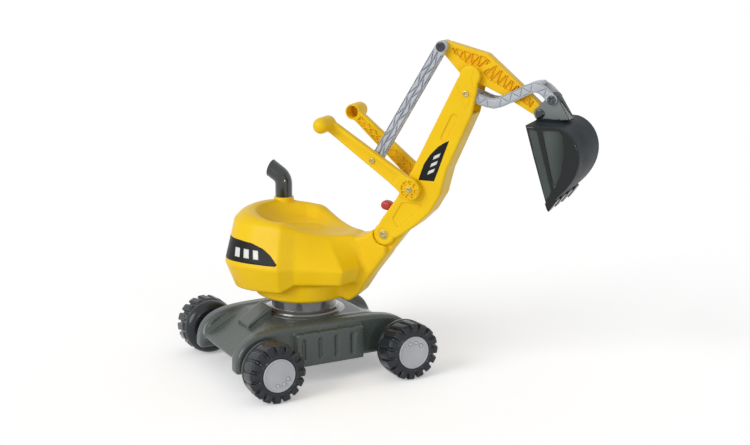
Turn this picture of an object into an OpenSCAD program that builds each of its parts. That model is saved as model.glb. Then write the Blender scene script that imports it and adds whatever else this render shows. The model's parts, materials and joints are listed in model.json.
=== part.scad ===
// Ride-on toy excavator. Millimetres, +Z up, arm pointing along +X.
// The origin lies on the ground under the axis that the house swivels on.

/* [Chassis] */
// Angle that the chassis is turned under the house
chassis_yaw = 51; // [0:1:90]
// Distance between the front and rear axles
wheelbase = 311; // [300:1:330]
// Width over the outer faces of the wheels
overall_w = 430; // [410:1:450]
// Length of the chassis body
chassis_l = 418; // [410:1:440]
// Width over the outer faces of the legs
chassis_w = 236; // [226:1:240]
// Height of the underside of the legs
leg_clearance = 39; // [34:1:44]
// Wall of the blow-moulded bodies
shell_wall = 4; // [3:0.5:5]

/* [Wheels] */
// Radius over the tread lugs
tyre_r = 61.5; // [58:0.5:64]
// Width of a wheel
wheel_w = 76; // [70:1:80]
// Number of tread lugs, even so that one lug faces straight down
lug_count = 16; // [10:2:18]
// Radius of the hub cap
hub_cap_r = 35; // [30:0.5:37]
// Diameter of the steel axles
axle_d = 10; // [8:0.5:12]

/* [House] */
// Height of the flat underside of the house
house_bottom = 160; // [159:0.5:163]
// Height of the widest line round the house
crease_z = 243; // [238:1:248]
// Half width of the rear bulge
bulge_half_w = 141; // [134:1:146]
// Half width of the side ahead of the bulge
side_half_w = 118; // [112:1:122]
// Reach of the house behind the swivel axis
house_rear = 153; // [142:1:156]
// Reach of the body ahead of the swivel axis, without the prow
house_front = 152; // [146:1:156]
// Height of the seat floor
seat_z = 301; // [296:1:304]
// Outer diameter of the exhaust pipe
exhaust_d = 38; // [32:1:40]

/* [Arm] */
// Width of the boom
boom_w = 58; // [56:1:60]
// Length of the right lever from its pivot to its handle
right_lever_l = 223; // [200:1:230]
// Length of the left lever from its pivot to its handle
left_lever_l = 212; // [200:1:230]
// Distance from the lever pivot to the strut screw
strut_crank = 98; // [90:0.1:105]
// Rise angle of the right lever above the backward direction
right_lever_rise = 33.6; // [32:0.1:38]
// Rise angle of the left lever above the backward direction
left_lever_rise = 41; // [39:0.1:50]
// Width of the bucket over its mouth
bucket_w = 182; // [170:2:200]
// Angle at which the sides of the bucket lean in towards its back
bucket_lean = 8.5; // [0:0.5:10]

/* [Hidden] */
$fn = 64;
gap = 0.3;
running = 0.1;

// Pivots of the arm, as x and z in the arm plane
boom_pivot = [200, 316];
lever_pivot = [263.5, 419.5];
dipper_pivot = [383, 655];
strut_top = [322, 711];
link_pivot = [376, 620];
bucket_pivot = [526, 588];
bucket_link_pivot = [550, 617];
lever_out = [-cos(right_lever_rise), sin(right_lever_rise)];
strut_bottom = lever_pivot + strut_crank * lever_out;

// Layers of the arm, as distances from the arm plane
boom_half = boom_w / 2;
tenon_half = 18.5;
clevis_half = 19;
dipper_half = 12;
lug_in = 12.6;
lug_out = 17.1;
link_in = 17.6;
link_out = 22;
head_slot_half = 22.6;
strut_in = 13.5;
strut_out = 28.5;
lever_in = 30;
lever_out_y = 47;

// Radii of pins and bolts
boom_bolt_r = 6;
lever_bolt_r = 5;
pin_r = 5;
screw_r = 4;
lock_pin_r = 2.5;
link_hole_r = 7;
strut_top_hole_r = 5;

// Along and across directions of the boom's lower arm
arm_dir = (lever_pivot - boom_pivot) / norm(lever_pivot - boom_pivot);
arm_side = [-arm_dir[1], arm_dir[0]];
cheek_r = 23.5;
tenon_tip_r = 44.5;

// Turntable
flange_r = 92;
flange_z = 131;
ring_r = 70;
king_r = 7;
axle_r = axle_d / 2;
axle_z = tyre_r;
wheel_out = overall_w / 2;
wheel_in = wheel_out - wheel_w;
leg_out = chassis_w / 2;
leg_in = leg_out - 30;
mid_bottom = leg_clearance + 23;
exhaust_at = [-85, 80];
exhaust_seat = 343;
exhaust_collar_top = 352;
exhaust_r = exhaust_d / 2;
exhaust_bend_r = 25;
exhaust_bend_z = 380;
exhaust_bend = 57;
exhaust_end_l = 24;

yellow = "gold";
dark = "darkslategray";
black = "#20242a";
grey = "darkgray";
steel = "silver";

// Stands a flat outline drawn in the arm plane between two distances y0 and y1
module plate(y0, y1) {
    translate([0, y1, 0])
        rotate([90, 0, 0])
            linear_extrude(y1 - y0)
                children();
}

// Round bar along Y at a point of the arm plane
module bar_y(at, r, y0, y1) {
    translate([at[0], y1, at[1]])
        rotate([90, 0, 0])
            cylinder(r = r, h = y1 - y0);
}

// The same on both sides of the arm plane
module both_sides() {
    children();
    mirror([0, 1, 0]) children();
}

// Stroke of round-ended segments through points
module stroke(points, w) {
    for (i = [0 : len(points) - 2]) {
        from = points[i];
        to = points[i + 1];
        side = [from[1] - to[1], to[0] - from[0]] / norm(to - from) * w / 2;
        polygon([from + side, from - side, to - side, to + side]);
    }
    for (p = points)
        translate(p) circle(d = w);
}

// Zigzag of ribs between two lines, each given by its two ends
function between(a, b, t) = a + (b - a) * t;
module zigzag(low, high, count, w) {
    stroke([for (i = [0 : count])
        i % 2 == 0 ? between(low[0], low[1], i / count) : between(high[0], high[1], i / count)], w);
}

module on_chassis() {
    rotate([0, 0, chassis_yaw]) children();
}

// Height of the rounded top line of the chassis at a distance x from its middle
function top_line(x, half_l, low, rise) = low + rise * pow(max(0, 1 - pow(abs(x) / half_l, 5)), 0.4);
function top_points(half_l, low, rise, steps) =
    [for (i = [0 : steps]) let (x = -half_l * cos(180 * i / steps)) [x, top_line(x, half_l, low, rise)]];

module side_outline(half_l, bottom, low, rise) {
    polygon(concat([[half_l - 4, bottom], [-half_l + 4, bottom]], top_points(half_l, low, rise, 26)));
}

module chassis_shell() {
    half_l = chassis_l / 2;
    rise = 126 - leg_clearance;
    color(dark) on_chassis() difference() {
        union() {
            both_sides() plate(leg_in - 4, leg_out)
                side_outline(half_l, leg_clearance, leg_clearance + 6, rise - 6);
            plate(-leg_in, leg_in) deck_outline();
            both_sides() side_box();
            rotate_extrude()
                polygon([[0, 100], [leg_out - 1, 100], [leg_out - 1, 117], [flange_r + 6, 126],
                    [flange_r, flange_z - 2], [flange_r - 3, flange_z], [0, flange_z]]);
            deck_block();
        }
        both_sides() plate(leg_in, leg_out - shell_wall)
            side_outline(half_l - 5, leg_clearance + shell_wall, leg_clearance + shell_wall, rise - 9);
        difference() {
            plate(-leg_in + 8, leg_in - 8)
                polygon([[-150, mid_bottom + 9], [-150, 86], [-104, 112], [104, 112], [150, 86],
                    [150, mid_bottom + 9]]);
            translate([0, 0, mid_bottom]) cylinder(r = 22, h = 80);
        }
        both_sides() translate([-80, leg_out - shell_wall - 1, leg_clearance + shell_wall])
            cube([160, 12, 65]);
        for (x = [-wheelbase / 2, wheelbase / 2])
            bar_y([x, axle_z], axle_r + running, -leg_out - 20, leg_out + 20);
        translate([0, 0, mid_bottom - 1]) cylinder(r = king_r + running, h = 90);
        translate([0, 0, mid_bottom - 1]) cylinder(r = 16, h = 15);
    }
}

// Box with upright ribs between the wheels
module side_box() {
    box_half = 84;
    box_out = leg_out + 12;
    box_top = 112;
    translate([-box_half, leg_out - 2, leg_clearance])
        cube([2 * box_half, box_out - leg_out + 2, box_top - leg_clearance]);
    for (x = [-57, -19, 19, 57])
        plate(box_out - 1, box_out + 3)
            stroke([[x, leg_clearance + 17], [x, box_top - 15]], 22);
}

// Deck between the legs, sloping down to both ends
module deck_outline() {
    deck_end = chassis_l / 2 - 8;
    polygon([[-deck_end, mid_bottom], [-deck_end, 72], [-166, 90], [-106, 124], [106, 124], [166, 90],
        [deck_end, 72], [deck_end, mid_bottom]]);
}

// Raised rectangle on the rear slope of the deck
module deck_block() {
    plate(-24, 24)
        polygon([[-164, 80], [-100, 110], [-100, 129], [-108, 131], [-162, 101], [-166, 96]]);
}

module turntable_ring() {
    color(black) rotate_extrude()
        polygon([[50, flange_z], [ring_r + 8, flange_z], [ring_r + 8, flange_z + 3], [ring_r, flange_z + 5],
            [ring_r, house_bottom - gap - 1], [ring_r - 1, house_bottom - gap], [50, house_bottom - gap]]);
}

// Kingpin with a flange moulded into the house floor
module swivel_bolt() {
    color(steel) {
        translate([0, 0, mid_bottom - 2]) cylinder(r = king_r, h = house_bottom + 10 - mid_bottom + 2);
        translate([0, 0, house_bottom + 6]) cylinder(r = 15, h = 6);
    }
}

module swivel_nut() {
    color(steel) difference() {
        union() {
            translate([0, 0, mid_bottom + 9]) cylinder(r = 14.5, h = 4.5);
            translate([0, 0, mid_bottom]) cylinder(r = 11.5, h = 9, $fn = 6);
        }
        translate([0, 0, mid_bottom - 1]) cylinder(r = king_r, h = 20);
    }
}

module axle(x) {
    color(steel) on_chassis() bar_y([x, axle_z], axle_r, -wheel_out + 8, wheel_out - 8);
}

module front_axle() { axle(wheelbase / 2); }
module rear_axle() { axle(-wheelbase / 2); }

module at_axle_ends() {
    on_chassis() both_sides()
        for (x = [-wheelbase / 2, wheelbase / 2])
            translate([x, 0, axle_z]) rotate([-90, 0, 0]) children();
}

// Push-on star washers near the axle ends
module axle_retainers() {
    color(steel) at_axle_ends() translate([0, 0, wheel_out - 13]) difference() {
        cylinder(r = 9, h = 2.5);
        translate([0, 0, -1]) cylinder(r = axle_r, h = 5);
    }
}

// Sleeves between the legs and the wheels
module axle_spacers() {
    color(black) at_axle_ends() translate([0, 0, leg_out]) difference() {
        cylinder(r = 9, h = wheel_in - leg_out - gap);
        translate([0, 0, -1]) cylinder(r = axle_r + running, h = 40);
    }
}

// A wheel stands in a frame whose Z runs from its outer face inwards
module at_wheel(x, side) {
    on_chassis() translate([x, side * wheel_out, axle_z]) rotate([side * 90, 0, 0]) children();
}

tread_r = tyre_r - 4.5;
lug_half_w = 8.5;
lug_skew = 12;

module tyre_profile() {
    polygon(concat(
        [[axle_r + running, 16], [13, 16], [13, 5.5], [hub_cap_r + gap, 5.5], [hub_cap_r + gap, 2],
            [hub_cap_r + 3, 1], [tread_r - 13, 3]],
        [for (a = [-75 : 15 : 0]) [tread_r - 10 + 10 * cos(a), 14 + 10 * sin(a)]],
        [[tread_r, 46]],
        [for (a = [0 : 15 : 90]) [tread_r - 19 + 22 * cos(a), wheel_w - 24 + 20 * sin(a)]],
        [[30, wheel_w - 8], [16, wheel_w - 6], [14, wheel_w], [axle_r + running, wheel_w]]));
}

module tread_lug() {
    translate([0, 0, 25]) rotate([lug_skew, 0, 0]) translate([0, 0, -25])
        rotate([90, 0, 0])
            translate([0, 0, -lug_half_w])
                linear_extrude(2 * lug_half_w)
                    polygon([[42, 3], [tyre_r - 6, 2], [tyre_r - 1.5, 5], [tyre_r, 9], [tyre_r, 41],
                        [tread_r, 48], [tread_r - 6, 44], [tread_r - 6, 12]]);
}

module wheel(x, side) {
    color(black) at_wheel(x, side) difference() {
        union() {
            rotate_extrude() tyre_profile();
            for (i = [0 : lug_count - 1])
                rotate([0, 0, 90 + 360 * i / lug_count]) tread_lug();
        }
        rotate_extrude()
            polygon([[19, 21], [25, 11], [44, 11], [tread_r - 6, 17], [tread_r - 6, wheel_w - 18],
                [43, wheel_w - 13], [19, wheel_w - 13]]);
    }
}

module wheel_front_left() { wheel(wheelbase / 2, 1); }
module wheel_front_right() { wheel(wheelbase / 2, -1); }
module wheel_rear_left() { wheel(-wheelbase / 2, 1); }
module wheel_rear_right() { wheel(-wheelbase / 2, -1); }

// Flat cap with a raised rim and three small domes
dome_r = 3.8;
dome_spacing = 37;
module hub_cap(x, side, dome_angle) {
    color("lightgray") at_wheel(x, side) {
        rotate_extrude()
            polygon([[0, 0.8], [hub_cap_r - 3, 0.8], [hub_cap_r - 2, 0], [hub_cap_r - 0.6, 0],
                [hub_cap_r, 0.8], [hub_cap_r, 5.5], [0, 5.5]]);
        for (a = [-dome_spacing, 0, dome_spacing])
            rotate([0, 0, dome_angle + a]) translate([hub_cap_r - 13.5, 0, 1.8]) sphere(r = dome_r);
    }
}

module hub_cap_front_left() { hub_cap(wheelbase / 2, 1, 90); }
module hub_cap_front_right() { hub_cap(wheelbase / 2, -1, -76); }
module hub_cap_rear_left() { hub_cap(-wheelbase / 2, 1, -55); }
module hub_cap_rear_right() { hub_cap(-wheelbase / 2, -1, 62); }

// Rings of the house body from its underside, over the seat rim, to the seat floor.
// Each has its height on the bulge and on the side, the rise at the rear, the slope and curve
// towards the front, the rear and bulge reaches, the squareness of the rear, the angle of the
// bulge's edge, and the corners of the front half's plan, or its reach where it is round.
rim_z = 337;
house_rings = [
    [house_bottom, house_bottom, 0, 0, 0, 84, 84, 2, 90, 84],
    [house_bottom + 6, house_bottom + 6, 0, 0, 0, 104, 98, 2, 90, 99],
    [house_bottom + 26, house_bottom + 42, -3, 0, 0, 112, 98, 2.3, 90, 106],
    [house_bottom + 31, house_bottom + 48, -6, 3, 0, house_rear - 17, bulge_half_w - 14, 3, 87,
        front_corners(10, 42, 26, 33, 31.5, 6)],
    [crease_z, crease_z, 0, 0, 0, house_rear, bulge_half_w, 3.4, 87,
        front_corners(0, 45, 18.5, 28, 33, 0)],
    [rim_z - 8, rim_z - 8, 2, -30, 5, house_rear - 12, bulge_half_w - 28, 3, 88,
        front_corners(24, 31, 62, 66, 27, 23)],
    [rim_z - 2, rim_z - 2, 11, -41, 12, house_rear - 25, bulge_half_w - 35, 2.7, 95,
        front_corners(31, 28, 68, 70, 25.5, 28.5)],
    [rim_z, rim_z, 14, -45, 15, house_rear - 40, bulge_half_w - 43, 2.5, 105,
        front_corners(41, 25, 75, 74, 23.5, 35)],
    [rim_z - 4, rim_z - 4, 16, -42, 14, house_rear - 54, bulge_half_w - 53, 2.4, 110,
        front_corners(56, 24, 84, 78, 21, 44)],
    [seat_z + 12, seat_z + 12, 11, -11, 2, house_rear - 77, bulge_half_w - 71, 2.2, 110,
        front_corners(84, 22, 101, 86, 17.5, 59)],
    [seat_z + 3, seat_z + 3, 0, 0, 0, 50, 48, 2.1, 90, 44],
    [seat_z, seat_z, 0, 0, 0, 12, 12, 2, 90, 12]];

// Corners of a ring's front half: the prow side, then the front and rear edges of the side panel
function front_corners(prow_in, prow_y, front_in, front_y_in, panel_x, panel_y_in) =
    [[house_front - prow_in, prow_y], [house_front - front_in, side_half_w - front_y_in],
        [panel_x, side_half_w - panel_y_in]];

// Plan radius of a ring at an angle of 0 to 180 degrees from the front
function polar(p) = [atan2(p[1], p[0]), norm(p)];
function chord(u, from, to) =
    from[1] * to[1] * sin(to[0] - from[0]) / (from[1] * sin(u - from[0]) + to[1] * sin(to[0] - u));
function oval(u, reach, half, p) = pow(pow(abs(cos(u)) / reach, p) + pow(sin(u) / half, p), -1 / p);
function rear_radius(u, ring) = u < 90 ? ring[6] / sin(u) : oval(u, ring[5], ring[6], ring[7]);
function ring_corners(ring) =
    concat([[0, ring[9][0][0]]], [for (c = ring[9]) polar(c)], [[ring[8], rear_radius(ring[8], ring)]]);
function front_radius(u, corners) =
    let (k = max([for (i = [0 : len(corners) - 2]) if (u >= corners[i][0] - 0.001) i]))
    chord(u, corners[k], corners[k + 1]);
function plan_radius(u, ring) =
    !is_list(ring[9]) ? oval(u, u < 90 ? ring[9] : ring[5], ring[6], ring[7])
    : u >= ring[8] ? rear_radius(u, ring)
    : front_radius(u, ring_corners(ring));

// Height of a ring, stepping from the side panel to the bulge
step_from = 74;
function ring_height(u, ring) =
    let (forward = cos(u), blend = min(1, max(0, (u - step_from) / (ring[8] - step_from))))
    ring[1] + (ring[0] - ring[1]) * blend
        + (forward > 0 ? (ring[3] + ring[4] * forward) * forward : ring[2] * pow(-forward, 1.5));

// Angles at which a ring has points: its corners, and even steps between them
function turn_stops(ring) =
    concat(is_list(ring[9]) ? [for (c = ring_corners(ring)) c[0]] : [0, 16, 33, step_from, 87], [180]);
function half_turn(stops, counts) =
    [for (k = [0 : len(counts) - 1]) for (i = [0 : counts[k] - 1])
        stops[k] + (stops[k + 1] - stops[k]) * i / counts[k]];
function ring_points(ring, counts, inset, lift) =
    let (half = half_turn(turn_stops(ring), counts),
        turns = concat([for (u = half) [u, 1]], [[180, 1]],
            [for (i = [len(half) - 1 : -1 : 1]) [half[i], -1]]))
    [for (t = turns) let (r = plan_radius(t[0], ring) - inset)
        [r * cos(t[0]), t[1] * r * sin(t[0]), ring_height(t[0], ring) + lift]];

// Closed loft through rings of points, with flat ends
module loft(rings) {
    n = len(rings[0]);
    m = len(rings);
    polyhedron(
        points = [for (ring = rings) for (p = ring) p],
        faces = concat(
            [[for (j = [0 : n - 1]) j]],
            [for (i = [0 : m - 2]) for (j = [0 : n - 1])
                [i * n + j, (i + 1) * n + j, (i + 1) * n + (j + 1) % n]],
            [for (i = [0 : m - 2]) for (j = [0 : n - 1])
                [i * n + j, (i + 1) * n + (j + 1) % n, i * n + (j + 1) % n]],
            [[for (j = [n - 1 : -1 : 0]) (m - 1) * n + j]]));
}

module house_body() {
    loft([for (ring = house_rings) ring_points(ring, [2, 3, 5, 2, 13], 0, 0)]);
}

// Sealed hollow of the blow-moulded body, one wall inside its outer side and under its seat
module house_hollow() {
    counts = [1, 2, 3, 1, 7];
    wall = shell_wall + 1;
    king_boss_r = 24;
    under = [for (i = [1 : 3]) ring_points(house_rings[i], counts, wall + 1, wall)];
    side = [ring_points(house_rings[4], counts, wall + 1, 0),
        ring_points(house_rings[5], counts, wall + 2, -wall - 2)];
    under_rim = [ring_points(house_rings[6], counts, 2 * wall, -wall - 4)];
    under_seat = [for (i = [8 : 11]) ring_points(house_rings[i], counts, -wall + 1, -wall - 3)];
    difference() {
        loft(concat(under, side, under_rim, under_seat));
        translate([0, 0, house_bottom]) cylinder(r = king_boss_r, h = 25);
    }
}

// Keel line under the prow, up to the seat front
module prow_outline() {
    polygon([[40, 200], [112, 163], [121, 163], [143, 182], [168, 221], [205, 271], [205, 340],
        [174, 322], [150, 308], [128, 303], [40, 298]]);
}

module tenon_outline() {
    polygon([[150, 230], [168, 221], [207, 274], [boom_pivot[0] + tenon_tip_r - 1, 321],
        [boom_pivot[0] + 36, 334], [boom_pivot[0], 316], [150, 300]]);
    translate(boom_pivot) circle(r = cheek_r + 0.5);
}

module house_shell() {
    prow_half = boom_half + 2;
    color(yellow) difference() {
        union() {
            house_body();
            plate(-prow_half, prow_half) prow_outline();
            plate(-tenon_half, tenon_half) tenon_outline();
            translate([exhaust_at[0], exhaust_at[1], 322])
                cylinder(r = exhaust_r + 3, h = exhaust_collar_top - 322);
        }
        house_hollow();
        both_sides() bar_y(boom_pivot, cheek_r + 1.2, tenon_half, prow_half + 10);
        both_sides() plate(tenon_half, prow_half + 10)
            polygon([boom_pivot + [-5, 0], boom_pivot + [-6, 60], boom_pivot + [70, 60],
                boom_pivot + [70, -30], boom_pivot + [2, -25.5]]);
        bar_y(boom_pivot, boom_bolt_r + running, -60, 60);
        translate([exhaust_at[0], exhaust_at[1], exhaust_seat])
            cylinder(r = exhaust_r + running, h = 20);
        translate([0, 0, house_bottom - 1]) cylinder(r = king_r + running, h = 12);
        translate([0, 0, house_bottom + 6]) cylinder(r = 15 + running, h = 6 + running);
    }
}

// Bent pipe with a closed foot, open at its upper end
exhaust_wall = 3;
module exhaust_ring(lip) {
    difference() {
        circle(r = exhaust_r + lip);
        circle(r = exhaust_r - exhaust_wall - lip);
    }
}

module exhaust_pipe() {
    foot = 4;
    tip_lip = 0.6;
    tip_lap = 1.5;
    color(black) translate([exhaust_at[0], exhaust_at[1], 0]) {
        translate([0, 0, exhaust_seat]) cylinder(r = exhaust_r, h = foot);
        translate([0, 0, exhaust_seat + foot])
            linear_extrude(exhaust_bend_z - exhaust_seat - foot) exhaust_ring(0);
        translate([-exhaust_bend_r, 0, exhaust_bend_z]) rotate([90, 0, 0])
            rotate_extrude(angle = exhaust_bend) translate([exhaust_bend_r, 0]) exhaust_ring(0);
        translate([-exhaust_bend_r, 0, exhaust_bend_z]) rotate([0, -exhaust_bend, 0])
            translate([exhaust_bend_r, 0, -tip_lap])
                linear_extrude(exhaust_end_l + tip_lap) exhaust_ring(tip_lip);
    }
}

// Side outline of the boom
head_r = 22;
rear_foot = boom_pivot + (cheek_r - 0.1) * arm_side;
front_foot = boom_pivot - (cheek_r - 0.1) * arm_side;
module boom_outline() {
    polygon([rear_foot, [228, 396], [264, 462], [357, 649], dipper_pivot + [-8, 20],
        dipper_pivot + [19, 10], [399, 627], [389, 577], [337, 461], [323, 407], [301, 370], [272, 342],
        front_foot]);
}

// A point in the lower arm, by its distance along and across from the boom pivot
function in_arm(along, across) = boom_pivot + along * arm_dir + across * arm_side;

head_slot_z = 588;
module boom_shell() {
    hollow_half = boom_half - shell_wall;
    color(yellow) difference() {
        union() {
            plate(-boom_half, boom_half) boom_outline();
            bar_y(boom_pivot, cheek_r, -boom_half, boom_half);
            bar_y(dipper_pivot, head_r, -boom_half, boom_half);
        }
        // Sealed hollow of the box section
        plate(-hollow_half, hollow_half)
            polygon([[246, 402], [271, 448], [334, 572], [376, 562], [326, 466], [311, 418], [290, 388]]);
        // Clevis that straddles the tenon, with room for the lock
        plate(-clevis_half, clevis_half)
            polygon([in_arm(-40, 50), in_arm(72, 50), in_arm(72, 2), in_arm(52, 2), in_arm(52, -50),
                in_arm(-40, -50)]);
        // Seat of the leaf spring
        plate(-spring_half_w, spring_half_w)
            polygon([in_arm(73, -1.5), in_arm(73, 3), in_arm(51, 3), in_arm(51, -1.5)]);
        // Open head that takes the dipper and the link
        plate(-head_slot_half, head_slot_half)
            polygon([[300, head_slot_z], [352, head_slot_z], [374, head_slot_z - 9],
                [450, head_slot_z - 9], [450, 720], [300, 720]]);
        side_panels();
        bar_y(boom_pivot, boom_bolt_r + running, -60, 60);
        bar_y(lever_pivot, lever_bolt_r + running, -60, 60);
        bar_y(dipper_pivot, pin_r, -boom_half + 2, boom_half - 2);
        bar_y(link_pivot, screw_r, -60, 60);
        bar_y(in_arm(64, 8), lock_pin_r, -boom_half + 2, boom_half - 2);
    }
}

// Shallow sunk panels on both sides of the boom
module side_panels() {
    both_sides() plate(boom_half - 1.5, boom_half + 1) {
        stroke([[352, 571], [321, 508]], 14);
        polygon([in_arm(44, 8), in_arm(84, 13), in_arm(90, -30), in_arm(52, -10)]);
        polygon([link_pivot + [-12, -16], link_pivot + [2, -48], link_pivot + [10, -12]]);
    }
}

module boom_pivot_bolt() {
    color(steel) {
        bar_y(boom_pivot, boom_bolt_r, -boom_half - 2, boom_half + 12);
        bar_y(boom_pivot, 10.5, -boom_half - 2, -boom_half);
        bar_y(boom_pivot, 8, -boom_half - 5, -boom_half - 1);
    }
}

module boom_pivot_nut() {
    color(steel) difference() {
        union() {
            bar_y(boom_pivot, 13, boom_half, boom_half + 2);
            translate([boom_pivot[0], boom_half + 10, boom_pivot[1]]) rotate([90, 0, 0])
                cylinder(r = 10.5, h = 8, $fn = 6);
        }
        bar_y(boom_pivot, boom_bolt_r, 0, 60);
    }
}

// Hand lever in a frame whose X runs from the pivot to the handle
handle_r = 16.5;
handle_out = 78;
hub_r = 22;
module lever_outline(lever_l) {
    circle(r = hub_r);
    polygon([[0, 19], [50, 15.5], [lever_l, 10.5], [lever_l, -12.5], [50, -17.5], [0, -20]]);
}

module lever_body(lever_l) {
    difference() {
        union() {
            plate(-lever_out_y, -lever_in) lever_outline(lever_l);
            bar_y([lever_l, 0], handle_r, -handle_out + 8, -lever_in);
            translate([lever_l, -handle_out + 8, 0]) sphere(r = handle_r);
        }
        // Hollow of the handle, open on the inner side
        bar_y([lever_l, 0], handle_r - 3.5, -handle_out + 14, -lever_in + 1);
        // Channel on the inner side
        plate(-lever_in - 9, -lever_in + 1)
            polygon([[30, 12], [lever_l - 20, 7], [lever_l - 20, -7], [30, -12]]);
        // Ring-shaped recess round the pivot on the outer side
        plate(-lever_out_y - 1, -lever_out_y + 4) difference() {
            circle(r = 18.5);
            circle(r = 10);
            for (a = [0 : 45 : 315])
                rotate(a) translate([8, -1.2]) square([12, 2.4]);
        }
        bar_y([0, 0], lever_bolt_r + running, -60, 0);
    }
    plate(-lever_in - 9.5, -lever_in)
        zigzag([[30, -11], [lever_l - 20, -6.5]], [[30, 11], [lever_l - 20, 6.5]], 9, 3);
}

module at_lever(rise) {
    translate([lever_pivot[0], 0, lever_pivot[1]]) rotate([0, rise - 180, 0]) children();
}

module lever_right() {
    color(yellow) difference() {
        at_lever(right_lever_rise) lever_body(right_lever_l);
        bar_y(strut_bottom, screw_r, -60, 0);
    }
}

module lever_left() {
    color(yellow) mirror([0, 1, 0]) at_lever(left_lever_rise) lever_body(left_lever_l);
}

module lever_pivot_bolt() {
    color(steel) {
        bar_y(lever_pivot, lever_bolt_r, -lever_out_y - 1, lever_out_y + 8);
        bar_y(lever_pivot, 9, -lever_out_y - 3, -lever_out_y - gap);
    }
}

module lever_pivot_nut() {
    color(steel) difference() {
        union() {
            bar_y(lever_pivot, 9, lever_out_y, lever_out_y + 1.5);
            translate([lever_pivot[0], lever_out_y + 8, lever_pivot[1]]) rotate([90, 0, 0])
                cylinder(r = 8.5, h = 6.5, $fn = 6);
        }
        bar_y(lever_pivot, lever_bolt_r, 0, 80);
    }
}

// Ladder bar from the right lever to the rear of the dipper
strut_w = 24;
module strut() {
    along = (strut_top - strut_bottom) / norm(strut_top - strut_bottom);
    side = [-along[1], along[0]] * (strut_w / 2 - 2.5);
    low_end = strut_bottom + 14 * along;
    high_end = strut_top - 14 * along;
    color(grey) difference() {
        plate(-strut_out, -strut_in) stroke([strut_bottom, strut_top], strut_w);
        for (y = [[-strut_out - 1, -strut_out + 4.5], [-strut_in - 4.5, -strut_in + 1]])
            plate(y[0], y[1]) difference() {
                polygon([low_end + side, high_end + side, high_end - side, low_end - side]);
                zigzag([low_end - side, high_end - side], [low_end + side, high_end + side], 12, 2.2);
            }
        bar_y(strut_bottom, screw_r + running, -60, 0);
        bar_y(strut_top, strut_top_hole_r, -60, 0);
    }
}

module strut_lower_screw() {
    color(steel) {
        bar_y(strut_bottom, screw_r, -lever_out_y - 1, -strut_in + 2);
        bar_y(strut_bottom, 6.5, -lever_out_y - 3, -lever_out_y);
        bar_y(strut_bottom, 7.5, -strut_in + gap, -strut_in + 2.5);
    }
}

module strut_upper_bolt() {
    color(black) {
        bar_y(strut_top, screw_r, -strut_out - 2, dipper_half + 4);
        bar_y(strut_top, 10, -strut_out - 4, -strut_out - gap);
        bar_y(strut_top, 8, dipper_half, dipper_half + 4);
    }
}

// Ribbed dipper arm from the strut, over the boom head, to the bucket
dipper_end_r = 11;
module dipper_outline() {
    translate(strut_top) circle(r = dipper_end_r);
    translate(bucket_pivot) circle(r = dipper_end_r);
    translate(dipper_pivot) circle(r = 18);
    polygon([strut_top + [3, 10.4], [414, 699], [485, 639], bucket_pivot + [7, 8.4],
        bucket_pivot + [-7.6, -7.9], [456, 614], [412, 634], dipper_pivot + [-15, -9],
        strut_top + [-7.6, -7.8]]);
}

module dipper_pockets() {
    polygon([[338, 709], [412, 692], [424, 682], [398, 672], [372, 678], [344, 697]]);
    polygon([[432, 678], [484, 635], [512, 611], [506, 596], [460, 628], [418, 648], [404, 662]]);
}

module dipper() {
    pocket = 4;
    color(yellow) difference() {
        union() {
            plate(-dipper_half, dipper_half) dipper_outline();
            bar_y(dipper_pivot, 14, -head_slot_half + gap, head_slot_half - gap);
        }
        both_sides() plate(dipper_half - pocket, dipper_half + 1) difference() {
            dipper_pockets();
            zigzag([[341, 694], [403, 665]], [[336, 712], [428, 693]], 6, 2.4);
            zigzag([[403, 652], [513, 590]], [[427, 687], [519, 613]], 9, 2.4);
        }
        bar_y(dipper_pivot, pin_r + running, -60, 60);
        bar_y(strut_top, screw_r, -60, 60);
        bar_y(bucket_pivot, pin_r + running, -60, 60);
    }
}

module dipper_pin() {
    color(steel) bar_y(dipper_pivot, pin_r, -boom_half + 2, boom_half - 2);
}

// S-shaped link from the boom head past the dipper to the bucket
link_w = 20;
link_low = [431, 598];
link_high = [521, 645];
link_path = concat([link_pivot], bend(link_pivot, link_low, link_high, 24),
    bend(link_low, link_high, bucket_link_pivot, 22), [bucket_link_pivot]);

// Points on a rounded bend at b, from a distance r before it to the same distance after it
function bend(a, b, c, r) =
    let (from = b + r * (a - b) / norm(a - b), to = b + r * (c - b) / norm(c - b))
    [for (t = [0 : 0.2 : 1]) pow(1 - t, 2) * from + 2 * t * (1 - t) * b + t * t * to];

// Outline of a band of even width along a path
function band(path, w) =
    let (last = len(path) - 1,
        side = [for (i = [0 : last])
            let (d = path[min(last, i + 1)] - path[max(0, i - 1)]) [-d[1], d[0]] / norm(d) * w / 2])
    concat([for (i = [0 : last]) path[i] + side[i]], [for (i = [last : -1 : 0]) path[i] - side[i]]);

module bucket_link() {
    color(grey) difference() {
        union() {
            both_sides() {
                plate(link_in, link_out) polygon(band(link_path, link_w));
                bar_y(link_pivot, link_w / 2, link_in, link_out);
                bar_y(bucket_link_pivot, link_w / 2, link_in, link_out);
            }
            plate(-link_in - 1, link_in + 1) stroke([[398, 611], link_low, [438, 601]], link_w - 8);
            plate(-link_in - 1, link_in + 1) stroke([[514, 645], [524, 646]], link_w - 11);
        }
        bar_y(link_pivot, screw_r + running, -60, 60);
        bar_y(bucket_link_pivot, link_hole_r, -60, 60);
    }
}

module link_pivot_screw() {
    color(steel) {
        bar_y(link_pivot, screw_r, -boom_half - 1, boom_half + 3);
        bar_y(link_pivot, 7, -boom_half - 3, -boom_half);
        bar_y(link_pivot, 7, boom_half, boom_half + 3);
    }
}

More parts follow.
